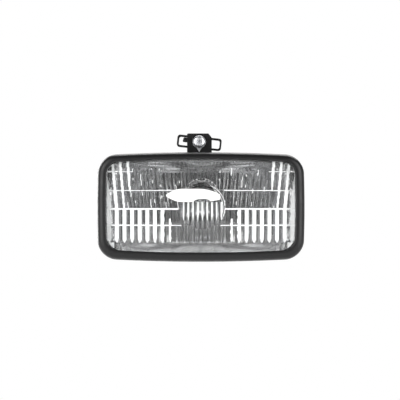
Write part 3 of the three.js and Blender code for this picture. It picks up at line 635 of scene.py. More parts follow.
def lower_look(x, z):
    """The finish below the middle ridge: satin-white crests as painted highlights, which thin out inwards and
    downwards.
    """
    side = abs(x)
    # Satin white along the lens's edge: a painted highlight.
    if side > SATIN_HIGHLIGHT_EDGE:
        return SATIN_HIGHLIGHT
    share = 0.5 + 0.06 * math.sin(1.1 * z + 0.7 * x)
    share *= limited((side - 16) / 14)
    share *= limited((z - PLAIN_BELOW) / 3)
    start = 27 if z > -9 else 22
    return SATIN_HIGHLIGHT if side > start and off_crest(x, FLUTE_PITCH) < share else CLEAR


def streak(x, z):
    """The finish of the short, uneven streaks between the upper flutes at (x, z): satin-white ones as painted
    highlights and grey rough ones as painted shade.
    """
    place = leaning(x, z) / (FLUTE_PITCH / 2)
    nearest = round(place)
    length = 5.0 + 3.0 * math.sin(2.7 * nearest)
    cell = math.floor(z / length + 0.61 * nearest)
    chance = abs(math.sin(12.9898 * nearest + 78.233 * cell)) * 437.58 % 1.0
    if not 14 < abs(x) < 56:
        return CLEAR
    if 0 < place - nearest < 0.17 and chance < 0.2:
        return SATIN_HIGHLIGHT
    return FROSTED_SHADE if abs(place - nearest) < 0.3 and chance > 0.55 else CLEAR


def upper_look(x, z):
    """The finish above the middle ridge: satin-white crests at the sides as painted highlights, the curved
    ridge in grey rough glass as painted shade, and streaks.
    """
    side = abs(x)
    if abs(from_brow(x, z) - BROW_RADIUS) < BROW_WIDTH / 2:
        return FROSTED_SHADE
    if z < UPPER_RIDGE:
        share = 0.42 * (side - 50) / 14 if side > 56 else 0
    else:
        share = 0.34 if side > 54 else 0
    if off_crest(leaning(x, z), FLUTE_PITCH) < share:
        return SATIN_HIGHLIGHT
    low, high, stop = CLEAR_BAND
    if low < z < high and side < stop:
        return CLEAR
    # Grey rough glass along the top and the sides: painted shade.
    return FROSTED_SHADE if z > PLAIN_ABOVE or side > SATIN_HIGHLIGHT_EDGE else streak(x, z)


def look(x, z):
    """The finish of the pressed side at (x, z), among clear glass, painted highlights and painted shade."""
    if painted_shade_band(x, z):
        return PAINTED_SHADE
    ex, ez = x - EYE_CENTRE[0], z - EYE_CENTRE[1]
    distance = math.hypot(ex, ez)
    if distance < EYE_RADIUS:
        return eye_look(ex, ez, distance)
    # Below the flutes: grey rough glass as painted shade, with satin white in the lower corners as a painted
    # highlight.
    if z < PLAIN_BELOW:
        return SATIN_HIGHLIGHT if abs(x) > SATIN_HIGHLIGHT_CORNER[0] and z > SATIN_HIGHLIGHT_CORNER[1] else FROSTED_SHADE
    # Satin-white strips along the ridges: painted highlights.
    for height, width, share, start, stop in RIDGES:
        if abs(z - height) < width * share / 2 and start < abs(x) < stop:
            return SATIN_HIGHLIGHT
    return lower_look(x, z) if z < MIDDLE_RIDGE else upper_look(x, z)


def pattern(x, z):
    """How far the inside of the lens stands in from its plain dome at (x, z)."""
    ex, ez = x - EYE_CENTRE[0], z - EYE_CENTRE[1]
    distance = math.hypot(ex, ez)
    if distance < EYE_RADIUS:
        edge = min(1.0, (EYE_RADIUS - distance) / 0.9)
        return edge * (0.35 + 0.5 * max(0.0, ez / EYE_RADIUS) + flute(ex, EYE_PITCH, EYE_DEPTH))
    out = 0.0
    if z > MIDDLE_RIDGE:
        fine = limited((58 - abs(x)) / 8)
        out = flute(leaning(x, z), FLUTE_PITCH, FLUTE_DEPTH * (1 - 0.6 * fine))
        out += flute(leaning(x, z), FLUTE_PITCH / 2, FINE_DEPTH * fine)
    elif z > PLAIN_BELOW:
        fine = limited((26 - abs(x)) / 6)
        out = flute(x, FLUTE_PITCH, FLUTE_DEPTH) + flute(x, FLUTE_PITCH / 2, LOW_FINE_DEPTH * fine)
        out *= min(1.0, (z - PLAIN_BELOW) / 0.8)
    brow = abs(from_brow(x, z) - BROW_RADIUS) / (BROW_WIDTH / 2)
    if brow < 1:
        out += BROW_DEPTH * (1 - brow * brow)
    for height, width, *_ in RIDGES:
        near = abs(z - height) / (width / 2)
        if near < 1:
            out += (FLUTE_DEPTH + RIDGE_DEPTH - out) * (1 - near * near)
    return out


def steps_between(step, low, high, start=0.0):
    """Places step apart, counted from start, from low up to high."""
    return {round(start + k * step, 4) for k in range(math.ceil(low / step), math.ceil(high / step))}


def lens_columns(window):
    """The lens's columns of vertices: twelve to a flute, and one at each point of its rounded ends."""
    columns = steps_between(FLUTE_PITCH / 12, -LENS_HALF_WIDTH, LENS_HALF_WIDTH - 0.05)
    columns |= steps_between(EYE_PITCH / 12, -EYE_RADIUS - 0.6, EYE_RADIUS + 0.4, EYE_CENTRE[0])
    columns |= {round(x, 4) for x, _ in window if abs(x) > LENS_HALF_WIDTH - 9}
    columns = sorted(columns)
    return [x for x, after in zip(columns, columns[1:] + [math.inf]) if after - x > 0.02]


def lens_rows():
    """The lens's rows of vertices, closer together in the round zone and on the ridges."""
    rows = {-LENS_BOTTOM, LENS_TOP}
    z = -LENS_BOTTOM
    while z < LENS_TOP:
        rows.add(round(z, 4))
        z += 0.55 if abs(z) < EYE_RADIUS + 1 else 0.9
    for height, width, *_ in RIDGES:
        rows |= {round(height + width / 2 * k / 5, 4) for k in range(-5, 6)}
    return sorted(rows)


def lens():
    """A domed dish of glass with a flange, smooth outside and fluted inside."""
    window = outline(LENS_INSET, LIP_EXTRA, 10, 18, 30)
    columns, rows = lens_columns(window), lens_rows()
    upper = sorted((x, z) for x, z in window if z >= 0)
    lower = sorted((x, -z) for x, z in window if z <= 0)
    bm = bmesh.new()

    def reach(edge, x):
        """Height of an edge of the window at x."""
        for (x0, z0), (x1, z1) in zip(edge, edge[1:]):
            if x0 <= x <= x1:
                return z0 if x1 == x0 else z0 + (z1 - z0) * (x - x0) / (x1 - x0)
        return 0.0

    def sheet(depth, finish_at):
        """A grid over the window at a depth, each face with its finish."""
        grid = []
        for x in columns:
            high, low = reach(upper, x), -reach(lower, x)
            heights = [min(max(z, low), high) for z in rows]
            grid.append([bm.verts.new((x, depth(x, z), z)) for z in heights])
        for left, right in zip(grid, grid[1:]):
            for i in range(len(rows) - 1):
                face = bm.faces.new((left[i], left[i + 1], right[i + 1], right[i]))
                x = (left[i].co.x + right[i].co.x) / 2
                z = (left[i].co.z + right[i + 1].co.z) / 2
                face.material_index = finish_at(x, z)
        bmesh.ops.remove_doubles(bm, verts=bm.verts, dist=0.004)

    def grow(edges, place):
        """Extrudes a loop of edges and puts each new vertex where place says."""
        made = bmesh.ops.extrude_edge_only(bm, edges=edges)["geom"]
        for v in made:
            if isinstance(v, bmesh.types.BMVert):
                v.co = place(v.co)
        return [e for e in made if isinstance(e, bmesh.types.BMEdge)]

    def stretched(co, y, way):
        """A point at depth y, moved out to the flange's edge with way 1, or back with way -1."""
        wide = (HALF_WIDTH - FRAME_CLEARANCE) / LENS_HALF_WIDTH
        tall = (HALF_HEIGHT - FRAME_CLEARANCE) / (LENS_TOP if co.z > 0 else LENS_BOTTOM)
        return Vector((co.x * wide ** way, y, co.z * tall ** way))

    sheet(lambda x, z: LENS_EDGE - dome(x, z), lambda x, z: CLEAR)
    front, back = LENS_FLANGE
    rim = grow([e for e in bm.edges if e.is_boundary], lambda co: Vector((co.x, front, co.z)))
    rim = grow(rim, lambda co: stretched(co, front, 1))
    rim = grow(rim, lambda co: Vector((co.x, back, co.z)))
    grow(rim, lambda co: stretched(co, back, -1))
    # The pressed side, with look's painted highlights and painted shade.
    sheet(lambda x, z: LENS_EDGE + LENS_THICKNESS - dome(x, z) + pattern(x, z), look)
    bmesh.ops.bridge_loops(bm, edges=[e for e in bm.edges if e.is_boundary])
    bmesh.ops.dissolve_degenerate(bm, dist=0.0005, edges=bm.edges)
    obj = finish(bm, "lens_glass", "lens_glass", "lens", sharp=40)
    # After the clear glass, the painted-highlight and painted-shade materials.
    for material in (SATIN_HIGHLIGHT_GLASS, FROSTED_SHADE_GLASS, PAINTED_SHADE_GLASS):
        obj.data.materials.append(material)
    obj.visible_shadow = False


PAD_X = (-26.5, 14.8)
PAD_Z = (3.9, 13.9)
PAD_RAISE = 0.32
PAD_RIM = 0.2
PAD_UNDERSIDE = 0.03
PAD_COLUMNS = 90
PAD_ROWS = 14


def lens_pad():
    """A blank satin pad on the outside of the lens, with a pointed end and a shallow arch below."""
    (left, right), (low, high) = PAD_X, PAD_Z
    middle = (low + high) / 2

    def span(x):
        """The pad's lower and upper edges at x."""
        near = min(1.0, (x - left) / 12.0)
        far = min(1.0, (right - x) / 16.0)
        half = (high - low) / 2 * (0.1 + 0.9 * math.sin(near * QUARTER) ** 0.9)
        half *= 0.35 + 0.65 * math.sin(far * QUARTER) ** 0.8
        sink = 1.2 * (1 - far) ** 2
        arch = 2.4 * max(0.0, 1 - ((x - 0.8) / 6.2) ** 2) ** 0.5
        return middle - half - sink + arch, middle + half - sink

    bm = bmesh.new()
    for offset, rim_offset in ((PAD_RAISE, PAD_RIM), (PAD_UNDERSIDE, PAD_UNDERSIDE)):
        grid = []
        for i in range(PAD_COLUMNS + 1):
            x = left + (right - left) * i / PAD_COLUMNS
            a, b = span(x)
            column = []
            for j in range(PAD_ROWS + 1):
                z = a + (b - a) * j / PAD_ROWS
                rim = i in (0, PAD_COLUMNS) or j in (0, PAD_ROWS)
                column.append(bm.verts.new((x, LENS_EDGE - dome(x, z) - (rim_offset if rim else offset), z)))
            grid.append(column)
        for a, b in zip(grid, grid[1:]):
            for j in range(PAD_ROWS):
                bm.faces.new((a[j], a[j + 1], b[j + 1], b[j]))
    bmesh.ops.bridge_loops(bm, edges=[e for e in bm.edges if e.is_boundary])
    finish(bm, "lens_pad", "lens_glass", material=PAD_WHITE)


def gasket():
    """A moulded seal with a bead towards the lens and one towards the housing."""
    low, high = box_mm("lens_gasket")
    outer, inner = FRAME_CLEARANCE + 0.3, RIM_INSET - 0.3
    middle = (outer + inner) / 2
    half = [(outer, 0.5), (outer + 0.2, 0.3), (middle - 0.35, 0.25), (middle, 0), (middle + 0.35, 0.25),
            (inner - 0.2, 0.3), (inner, 0.5)]
    section = [(inset, low.y + d) for inset, d in half] + [(inset, high.y - d) for inset, d in reversed(half)]
    bm = shape(add_rings, [ring_at(outline(inset), y) for inset, y in section], joined=True)
    finish(bm, "gasket_bead", "rubber", "lens_gasket", sharp=60)


# ---- Reflector ----


def reflector():
    """The mirror bowl: a paraboloid with flat upper and lower walls, a rim and a collar for the bulb."""
    mouth, nose, back, rim = (outline(inset, 0, 10, 16, 30) for inset in (
        REFLECTOR_INSET, REFLECTOR_INSET - 0.4, REFLECTOR_INSET - REFLECTOR_WALL, RIM_INSET))
    rim_front = REFLECTOR_LOW.y
    rim_back = rim_front + RIM_THICKNESS
    seat = REFLECTOR_HIGH.y

    def mirror_y(x, z):
        return max(VERTEX - (x * x + z * z) / (4 * FOCAL_LENGTH), rim_front + 0.3)

    def backing_y(x, z):
        return max(mirror_y(x, z) + REFLECTOR_BACKING, rim_back + 0.3)

    def towards_circle(points, radius, share):
        """The outline with its deep draft, scaled towards a circle as share goes to nothing."""
        out = []
        for x, z in points:
            z *= REFLECTOR_DRAFT
            length = math.hypot(x, z)
            reach = radius + (length - radius) * share
            out.append((x / length * reach, z / length * reach))
        return out

    shares = [i / 34 for i in range(35)]
    rings = [ring_at(towards_circle(mouth, BULB_HOLE_RADIUS, s), mirror_y) for s in shares]
    rings += [ring_at(points, y) for points, y in (
        (mouth, rim_front + 0.5), (nose, rim_front), (rim, rim_front), (rim, rim_back), (back, rim_back))]
    rings += [ring_at(towards_circle(back, COLLAR_RADIUS, s), backing_y) for s in reversed(shares)]
    rings += [ring_at(towards_circle(mouth, radius, 0), y) for radius, y in (
        (COLLAR_RADIUS, seat - 0.4), (COLLAR_RADIUS - 0.4, seat), (BULB_HOLE_RADIUS + 0.3, seat),
        (BULB_HOLE_RADIUS, seat - 0.3))]
    finish(shape(add_rings, rings, joined=True), "reflector_bowl", "mirror", "reflector", sharp=30)


# ---- Bulb shield ----


def shield_frame():
    """Placement of the rivet at the bulb shield's foot: square to the mirror, its Y axis pointing back."""
    z = -24.0
    tilt = math.atan(-z / (2 * FOCAL_LENGTH))
    return at(0, VERTEX - z * z / (4 * FOCAL_LENGTH), z) @ Matrix.Rotation(-tilt, 4, "X")


def bulb_shield():
    """A deep-drawn cup over the bulb's tip, with a rolled edge, on a bent strip leg."""
    low, high = box_mm("bulb_shield")
    front, radius = low.y, high.x
    wall = radius - 0.25
    outer = softened([(0, front), (5.6, front + 0.35), (7.2, front + 1.7), (wall, front + 3.6),
                      (wall, front + 11.6), (radius, front + 12), (radius, front + 12.6)], 1.4, 5)
    inner = softened([(radius - 0.7, front + 12.6), (radius - 0.8, front + 4), (6.5, front + 2.4),
                      (5.2, front + 1.1), (0, front + 0.7)], 1.2, 5)
    bm = shape(add_lathe, outer + inner, 96)
    line = [(12.5, -7.35), (20, -8.6)] + bend((20, -8.6), (26.5, -10.4), (34.6, -17.2), 3.5)
    line += bend((34.6, -17.2), (37.3, -20.8), (34.6, -26.2), 1.2)
    add_strip(bm, [(y, z, -2.2, 2.2) for y, z in line] + [(34.35, -26.6, -1.4, 1.4)], 0.7, 0.2)
    obj = finish(bm, "shield_cup", "bright_steel", "bulb_shield", sharp=35)
    cut(obj, moved(rod(1.5, -3, 3, 28), shield_frame()))


def shield_rivet():
    profile = [(0, -2.25), (1.3, -2.15), (2.1, -1.6), (2.1, -1.4), (1.1, -1.4), (1.1, 1.8), (2.1, 1.8),
               (2.1, 2.3), (1.5, 2.65), (0, 2.7)]
    finish(moved(turned(profile, 0.3, 3, 32), shield_frame()), "shield_stud", "zinc_steel", "shield_rivet")


# ---- Bulb ----


def bulb_capsule():
    """The quartz envelope, with a wall of its own."""
    low, high = box_mm("bulb_capsule")
    tip, base, radius = low.y, high.y, high.x
    profile = [
        (0, tip), (0.9, tip + 0.25), (1.9, tip + 1.1), (3.6, tip + 2.1), (radius, tip + 4.4),
        (radius, base - 5), (radius - 0.4, base), (radius - 1.2, base), (radius - 0.8, base - 5),
        (radius - 0.8, tip + 5), (3, tip + 3), (1.2, tip + 1.9), (0, tip + 1.5),
    ]
    finish(turned(profile, 0.8, 4, 48), "bulb_envelope", "quartz", "bulb_capsule", sharp=60)


def bulb_filament():
    """A coil on the optical axis and the two wires that hold it."""
    back = box_mm("bulb_filament")[1].y
    turns, start, end, radius = 11, 14.7, 19.4, 0.62
    steps = turns * 14
    coil = [(radius * math.cos(TAU * turns * k / steps), start + (end - start) * k / steps,
             radius * math.sin(TAU * turns * k / steps)) for k in range(steps + 1)]
    front_wire = [(radius, start, 0), (0.5, 14.3, 0.6), (0.1, 14.2, 1.6), (0, 14.6, 2.2), (0, 16, 2.3),
                  (0, back, 2.3)]
    back_wire = [(radius, end, 0), (0.4, 20, 0), (0, 20.6, 0), (0, 24, 0), (0, back, 0)]
    bm = shape(add_tube, coil, 0.16, 8)
    for wire in (front_wire, back_wire):
        add_tube(bm, smooth_path(wire, 5), 0.2, 8)
    finish(bm, "filament_coil", "tungsten", "bulb_filament", sharp=60)


def bulb_base():
    """The metal base, with the round flange that seats it and the flange's notch."""
    low, high = box_mm("bulb_base")
    front, back, flange = low.y, high.y, high.x
    profile = [
        (0, front), (5.5, front), (5.9, front + 0.3), (6.2, front + 1), (6.2, front + 2.4),
        (5.95, front + 2.7), (5.95, front + 3.3), (6.2, front + 3.6), (6.2, 44.2), (flange, 44.2),
        (flange, 45.4), (5.5, 45.4), (5.2, 45.9), (5.2, 50), (5.0, 50.2), (5.0, 50.7), (5.2, 50.9),
        (5.2, back - 0.6), (4.6, back), (0, back),
    ]
    obj = finish(turned(profile, 0.18, 2, 72), "bulb_holder", "bright_steel", "bulb_base")
    cut(obj, shape(add_block, (-1.5, 43, 8.8), (1.5, 47, 12), 0.4, 0.1))


def blade(name, node, taper, edge):
    """A flat brass terminal with a tapered end."""
    low, high = box_mm(node)
    taper_start = high.y - 1.4
    points = [(low.x, low.y), (low.x, taper_start), (low.x + taper, high.y), (high.x - taper, high.y),
              (high.x, taper_start), (high.x, low.y)]
    return finish(shape(add_bevelled_prism, points, low.z, high.z, "z", edge), name, "brass", node)


def bulb_blade():
    obj = blade("bulb_blade", "bulb_terminal", 0.9, 0.14)
    cut(obj, moved(rod(0.85, -2, 2, 24), at(0, 55.4, 0) @ UPRIGHT))


def receptacle():
    """The insulated push-on connector, with grip grooves at its sides."""
    low, high = box_mm("bulb_receptacle")
    obj = finish(shape(add_block, tuple(low), tuple(high), 0.9, 0.4), "push_on_connector", "nylon",
                 "bulb_receptacle")
    slot = shape(add_block, (-3.6, 51, -0.9), (3.6, high.y - 0.8, 0.9), 0.3, 0.1)
    grooves = [shape(add_block, (x, y, low.z + 1.6), (x + 1.7, y + 0.7, high.z - 1.6), 0.2, 0.05)
               for x in (-6, 4.3) for y in (55, 56.6, 58.2)]
    cut(obj, slot, *grooves)


# ---- Bulb clip ----

HINGE_Y, HINGE_Z = 47.2, 12.4
CLIP_BASE = 45.2


def clip_wire():
    """The sprung wire bail, from its hinge ends down both sides of the bulb to the bar."""
    leg, flat, bar = 7.2, 46.3, -11.6
    near = HINGE_Y - 0.3

    def half(side):
        line = [(12.2, HINGE_Y, HINGE_Z), (9.5, HINGE_Y, HINGE_Z), (leg, HINGE_Y, HINGE_Z - 0.5),
                (leg, flat, HINGE_Z - 5), (leg, flat, HINGE_Z - 12), (leg, flat, HINGE_Z - 19),
                (leg, near, bar + 1), (leg - 1.4, near, bar), (3, near, bar)]
        return [(side * x, y, z) for x, y, z in line]

    path = smooth_path(half(-1) + half(1)[::-1], 6)
    finish(shape(add_tube, path, 0.6, 14), "clip_wire", "zinc_steel", "bulb_clip", body="bulb_clip", sharp=50)


def hinge_plate():
    """The plate that takes the clip's ends, with two ears."""
    low, high = box_mm("clip_hinge_plate")
    foot, top = 44.9, 14.2
    bm = shape(add_block, (low.x, low.y, low.z), (high.x, CLIP_BASE, high.z), 1.2, 0.15)
    ear = [(foot, low.z)] + bend((foot, low.z), (high.y, low.z), (high.y, top), 1.6)
    ear += bend((high.y, low.z), (high.y, top), (foot, top), 1.6) + [(foot, top)]
    for x in (-10.5, 10.5):
        add_bevelled_prism(bm, ear, x - 0.5, x + 0.5, "x", 0.12)
    obj = finish(bm, "hinge_plate", "zinc_steel", "clip_hinge_plate")
    cut(obj, moved(rod(0.9, -14, 14, 24), at(0, HINGE_Y, HINGE_Z) @ ACROSS))


def clip_catch():
    """The bent strip that the clip's bar springs under."""
    low, high = box_mm("clip_catch")
    middle = (low.y + CLIP_BASE) / 2
    line = [(middle, high.z)] + bend((middle, high.z), (middle, -16.45), (48.4, -15.6), 1.3)
    line += bend((middle, -16.45), (48.7, -15.4), (48.95, -13.0), 0.9) + [(48.95, -12.95)]
    narrowing = [0] * (len(line) - 2) + [0.2, 0.5]
    strip = [(y, z, low.x + inset, high.x - inset) for (y, z), inset in zip(line, narrowing)]
    finish(shape(add_strip, strip, 0.9), "catch_hook", "zinc_steel", "clip_catch")


# ---- Housing ----

WAIST_Y = 8.0
NECK_START_Y = 46.0
NECK_END_Y = 60.0
NECK_RADIUS = 31.0
NECK_WALL = 2.8
HOUSING_WALL = 2.1
HOUSING_INSET = 3.6
FLANGE_DEPTHS = (-5.8, -0.8)
SHOULDER_INSET = 6.5
SHOULDER_RADIUS = 33.0
HOUSING_STEPS = (9, 18, 15)
VENT_LOW, VENT_HIGH = box_mm("vent_cap")
VENT_X = (VENT_LOW.x + VENT_HIGH.x) / 2
INLET_LOW, INLET_HIGH = box_mm("inlet_shell")
INLET_X = (INLET_LOW.x + INLET_HIGH.x) / 2
SIDES = ((-1, "left"), (1, "right"))
PIVOT = (49.5, 19.0, -38.4)


def housing_outline(inset):
    return outline(inset, 0, *HOUSING_STEPS)


def shoulder(inset, radius, share, y):
    """A ring part of the way from an outline to a circle."""
    points = housing_outline(inset)
    out = []
    for i, (x, z) in enumerate(points):
        a = TAU * i / len(points)
        out.append((x + (radius * math.cos(a) - x) * share, y, z + (radius * math.sin(a) - z) * share))
    return out


def neck(radius, y):
    return shoulder(SHOULDER_INSET, radius, 1, y)


def housing_rings(wall=0.0):
    """The housing's outside, or with wall its inside, from the flange to the neck's end."""
    flange = FLANGE_DEPTHS[0 if wall else 1]
    bow = 1 if wall else 0
    neck_radius = NECK_RADIUS - (NECK_WALL if wall else 0)
    bowl = [shoulder(SHOULDER_INSET + wall, SHOULDER_RADIUS - wall, share, y - bow)
            for share, y in ((0.28, 22), (0.7, 36))]
    return [ring_at(housing_outline(HOUSING_INSET + wall), flange),
            ring_at(housing_outline(HOUSING_INSET + 0.6 + wall), WAIST_Y),
            *bowl, neck(neck_radius, NECK_START_Y), neck(neck_radius, NECK_END_Y)]


def inlet_hole():
    """The opening for the inlet."""
    return shape(add_block, (INLET_X - 6.3, 20, -8.3), (INLET_X + 6.3, 50, 8.3), 1.5, 0.1)


def housing_bowl():
    """The moulded bowl, with its flange in front and its round neck behind."""
    outer, inner = soften_rings(housing_rings()), soften_rings(housing_rings(HOUSING_WALL))
    flange_front = [ring_at(housing_outline(FRAME_CLEARANCE), y) for y in FLANGE_DEPTHS]
    bore = NECK_RADIUS - NECK_WALL
    outer[-1], inner[-1] = neck(NECK_RADIUS, NECK_END_Y - 0.5), neck(bore, NECK_END_Y - 0.5)
    lip = [neck(NECK_RADIUS - 0.5, NECK_END_Y), neck(bore + 0.5, NECK_END_Y)]
    bm = shape(add_rings, flange_front + outer + lip + inner[::-1], joined=True)
    obj = finish(bm, "housing_bowl", "housing_plastic", "housing", sharp=35)
    cut(obj, inlet_hole(), rod(1.4, 20, 50, 24, VENT_X), sharp=35)


def skin_height(rings, x, y, side):
    """Height of the housing's outside above the axis at (x, y), on its upper or lower side."""
    def on_ring(ring):
        best = 0.0
        points = sorted(p for p in ring if p[2] * side >= 0)
        for a, b in zip(points, points[1:]):
            if a[0] <= x <= b[0] and b[0] > a[0]:
                best = max(best, abs(a[2] + (b[2] - a[2]) * (x - a[0]) / (b[0] - a[0])))
        return best

    for near, far in zip(rings, rings[1:]):
        y0, y1 = near[0][1], far[0][1]
        if y0 <= y <= y1 and y1 > y0:
            t = (y - y0) / (y1 - y0)
            return on_ring(near) * (1 - t) + on_ring(far) * t
    return 0.0


def housing_ribs():
    """Stiffening ribs above and below, which follow the bowl and fade out behind."""
    bm = bmesh.new()
    rings = housing_rings()
    places = [(x, side) for x in (-62, -44, -26, 26, 44, 62) for side in (1, -1) if side > 0 or abs(x) != 44]
    for x, side in places:
        length = 33 if abs(x) < 50 else 21
        depths = [length * k / 16 for k in range(17)]
        top = [(y, side * (skin_height(rings, x, y, side) + 1.5 * min(1.0, (length - y) / 6 + 0.05)))
               for y in depths]
        foot = [(y, side * (skin_height(rings, x, y, side) - 1.0)) for y in reversed(depths)]
        add_prism(bm, top + foot, x - 0.75, x + 0.75, "x")
    finish(bm, "housing_ribs", "housing_plastic", sharp=30)


def housing_pad():
    """The flat that the top bracket is riveted to."""
    low, high = box_mm("top_bracket")
    top = low.z - 0.3
    corners = [(3, 37), (high.y, 34), (high.y, top), (3, top)]
    pad = shape(add_bevelled_prism, corners, low.x - 1, high.x + 1, "x", 0.4)
    finish(pad, "housing_pad", "housing_plastic")


def housing_boss():
    """The block in the shoulder that the inlet sits in."""
    corners = [(34.5, 36), (50.2, 28.4), (50.2, 44), (34.5, 44)]
    boss = shape(add_bevelled_prism, corners, -10.5, 10.5, "z", 0.6, 3)
    cut(finish(boss, "housing_boss", "housing_plastic"), inlet_hole())


def vent_spigot():
    profile = [(1.4, 38), (1.4, 45.8), (1.8, 46), (2.8, 46), (3, 45.7), (3, 40.5), (4.6, 39.2), (4.8, 37)]
    finish(turned(profile, 0.2, 2, 36, x=VENT_X, joined=True), "vent_spigot", "housing_plastic")


def pivot_lugs():
    """A lug under the housing for each support arm's pin."""
    points = [(10, -36), (27, -30), (25.6, -34.4)] + bend((25.6, -34.4), (22.6, -41.8), (19, -41.6), 2.4)
    points += bend((22, -41.6), (16.2, -41.8), (10, -37.4), 2.4) + [(10, -37.4)]
    for side, name in SIDES:
        inside, outside = sorted((side * 41.0, side * 45.0))
        obj = finish(shape(add_bevelled_prism, points, inside, outside, "x", 0.35), f"pivot_lug_{name}",
                     "housing_plastic")
        cut(obj, moved(rod(2.3, -60, 60, 32), at(0, PIVOT[1], PIVOT[2]) @ ACROSS))


def vent_cap():
    """A rubber mushroom with slots under its rim."""
    front, back = VENT_LOW.y, VENT_HIGH.y
    radius = (VENT_HIGH.x - VENT_LOW.x) / 2
    profile = [(0, back), (3.4, back - 0.1), (radius - 1.2, back - 0.6), (radius, back - 2.2),
               (radius, front + 1), (radius - 0.8, front), (3.4, front), (3.4, 46.6), (0, 46.6)]

    def slots(r, y, a):
        deep = 0.55 if y < front + 2.4 and r > 4.6 else 0.0
        return r - deep * max(0.0, math.cos(8 * a)) ** 6

    finish(turned(profile, 0.6, 4, 96, x=VENT_X, wave=slots), "vent_mushroom", "rubber", "vent_cap", sharp=40)


def cap_seal():
    """The ring under the rear cap's skirt."""
    low, high = box_mm("cap_seal")
    middle = (low.y + high.y) / 2
    section = [(29.6 + 1.2 * math.cos(TAU * k / 16), middle + 0.45 * math.sin(TAU * k / 16))
               for k in range(16)]
    finish(shape(add_lathe, section, 120, joined=True), "seal_ring", "rubber", "cap_seal", sharp=60)


def rear_cap():
    """A soft boot with a ribbed skirt, a stepped back and a pull tab above and below."""
    back = box_mm("rear_cap")[1].y
    outer = [(0, back - 1.1), (9.5, back - 1.1), (10.3, back - 0.2), (11.5, back), (21.4, back),
             (23, back - 0.3), (25, back - 0.9), (26.6, 72), (28.8, 64.4), (33.4, 63.8), (34.1, 63),
             (34.1, 61.9), (33.6, 61.5), (33.6, 53.4), (34.1, 53), (34.1, 51), (33.6, 50.5)]
    inner = [(31.5, 50.5), (31.5, 61.5), (27, 61.5), (24.8, 71.4), (23.4, 73), (0, 73)]

    def ribs(r, y, a):
        if 53.6 < y < 61.4 and 33 < r < 33.9:
            return r + 0.55 * max(0.0, math.cos(36 * a)) ** 2
        if 65.2 < y < 71.6 and r > 26.4:
            return r + 0.35 * max(0.0, math.cos(24 * a)) ** 4
        return r

    profile = softened(outer, 0.45, 4)
    skirt = []
    for (r0, y0), (r1, y1) in zip(profile, profile[1:]):
        parts = 4 if abs(y0 - y1) > 3 else 1
        skirt += [(r0 + (r1 - r0) * k / parts, y0 + (y1 - y0) * k / parts) for k in range(parts)]
    bm = shape(add_lathe, skirt + [profile[-1]] + softened(inner, 0.5, 3), 288, wave=ribs)

    def across(half_width, front, rear, z0, z1, side, *rounding):
        """A block across the boot between two heights, above or below."""
        a, b = sorted((side * z0, side * z1))
        return shape(add_block, (-half_width, front, a), (half_width, rear, b), *rounding)

    for side in (1, -1):
        add_bmesh(bm, across(7, 59.4, 62.8, 33.0, 39.2, side, 2.4, 0.7))
        for z in (35.4, 36.8, 38.2):
            add_bmesh(bm, across(5, 59.15, 63.05, z - 0.25, z + 0.25, side, 0.2, 0.1))
    finish(bm, "rear_cap_boot", "rubber", "rear_cap", body="rear_cap", sharp=35)


# ---- Electrical inlet ----


def inlet():
    """A two-blade connector shroud with a latch ramp and guide ribs."""
    back = INLET_HIGH.y
    section = [
        (5.7, 7.7, 1.2, INLET_LOW.y), (6, 8, 1.5, INLET_LOW.y + 0.3), (6, 8, 1.5, 44.3),
        (6.9, 9.7, 2.2, 44.3), (7.2, 10, 2.5, 44.6), (7.2, 10, 2.5, 45.9), (6.9, 9.7, 2.2, 46.2),
        (6.3, 8.3, 1.8, 46.2), (6, 8, 1.5, 46.6), (6, 8, 1.5, back - 0.3), (5.8, 7.8, 1.3, back),
        (4.8, 6.8, 1.0, back), (4.6, 6.6, 0.8, back - 0.4), (4.6, 6.6, 0.8, 40),
    ]
    bm = shape(add_rings, [ring_at(rectangle(INLET_X - wide, -tall, INLET_X + wide, tall, radius), y)
                           for wide, tall, radius, y in section])
    latch = [(0, 49), (0, 53.4), (1.2, 50.4), (1.2, 49.4)]
    add_bevelled_prism(bm, [(INLET_X + 5.9 + rise, y) for rise, y in latch], -2.2, 2.2, "z", 0.15)
    for x in (INLET_X - 5.95, INLET_X + 5.95):
        for low, high in ((5.2, 6.0), (-6.0, -5.2)):
            add_block(bm, (x - 0.3, 46.4, low), (x + 0.3, back - 0.6, high), 0.2, 0.15)
    finish(bm, "inlet_shroud", "nylon", "inlet_shell", sharp=40)
    for end in ("live", "ground"):
        blade(f"inlet_pin_{end}", f"inlet_blade_{end}", 0.8, 0.16)


LEAD_ROUTES = {
    "live": [(0, 57, 5.3), (0, 57, 12), (2, 56.6, 17), (9, 54.6, 19.6), (16, 50.5, 18), (21.5, 45, 14.5),
             (28, 39.5, 12.5), (34, 34.6, 12), (39.5, 30.4, 10.4), (42.3, 28.4, 7), (42.5, 28.4, 4.6),
             (42.5, 30.5, 4)],
    "ground": [(13.5, 45, 15), (17.4, 46.4, 11), (20.6, 45.6, 3), (24.4, 42.5, -6), (29.4, 38.4, -11.4),
               (34.4, 34.4, -12.4), (39.5, 30.4, -10.4), (42.3, 28.4, -7), (42.5, 28.4, -4.6),
               (42.5, 30.5, -4)],
}


def leads():
    """The two short wires fixed inside the housing."""
    for end, route in LEAD_ROUTES.items():
        bm = shape(add_tube, smooth_path(route, 6), 1.1, 16)
        finish(bm, f"wire_{end}", f"{end}_insulation", f"lead_{end}", sharp=60)


# ---- Top bracket and aim adjuster ----

AIM_X, AIM_Z = -1.2, 50.8
RIVETS = ((-8, "left"), (5.6, "right"))
RIVET_Y = 12.5


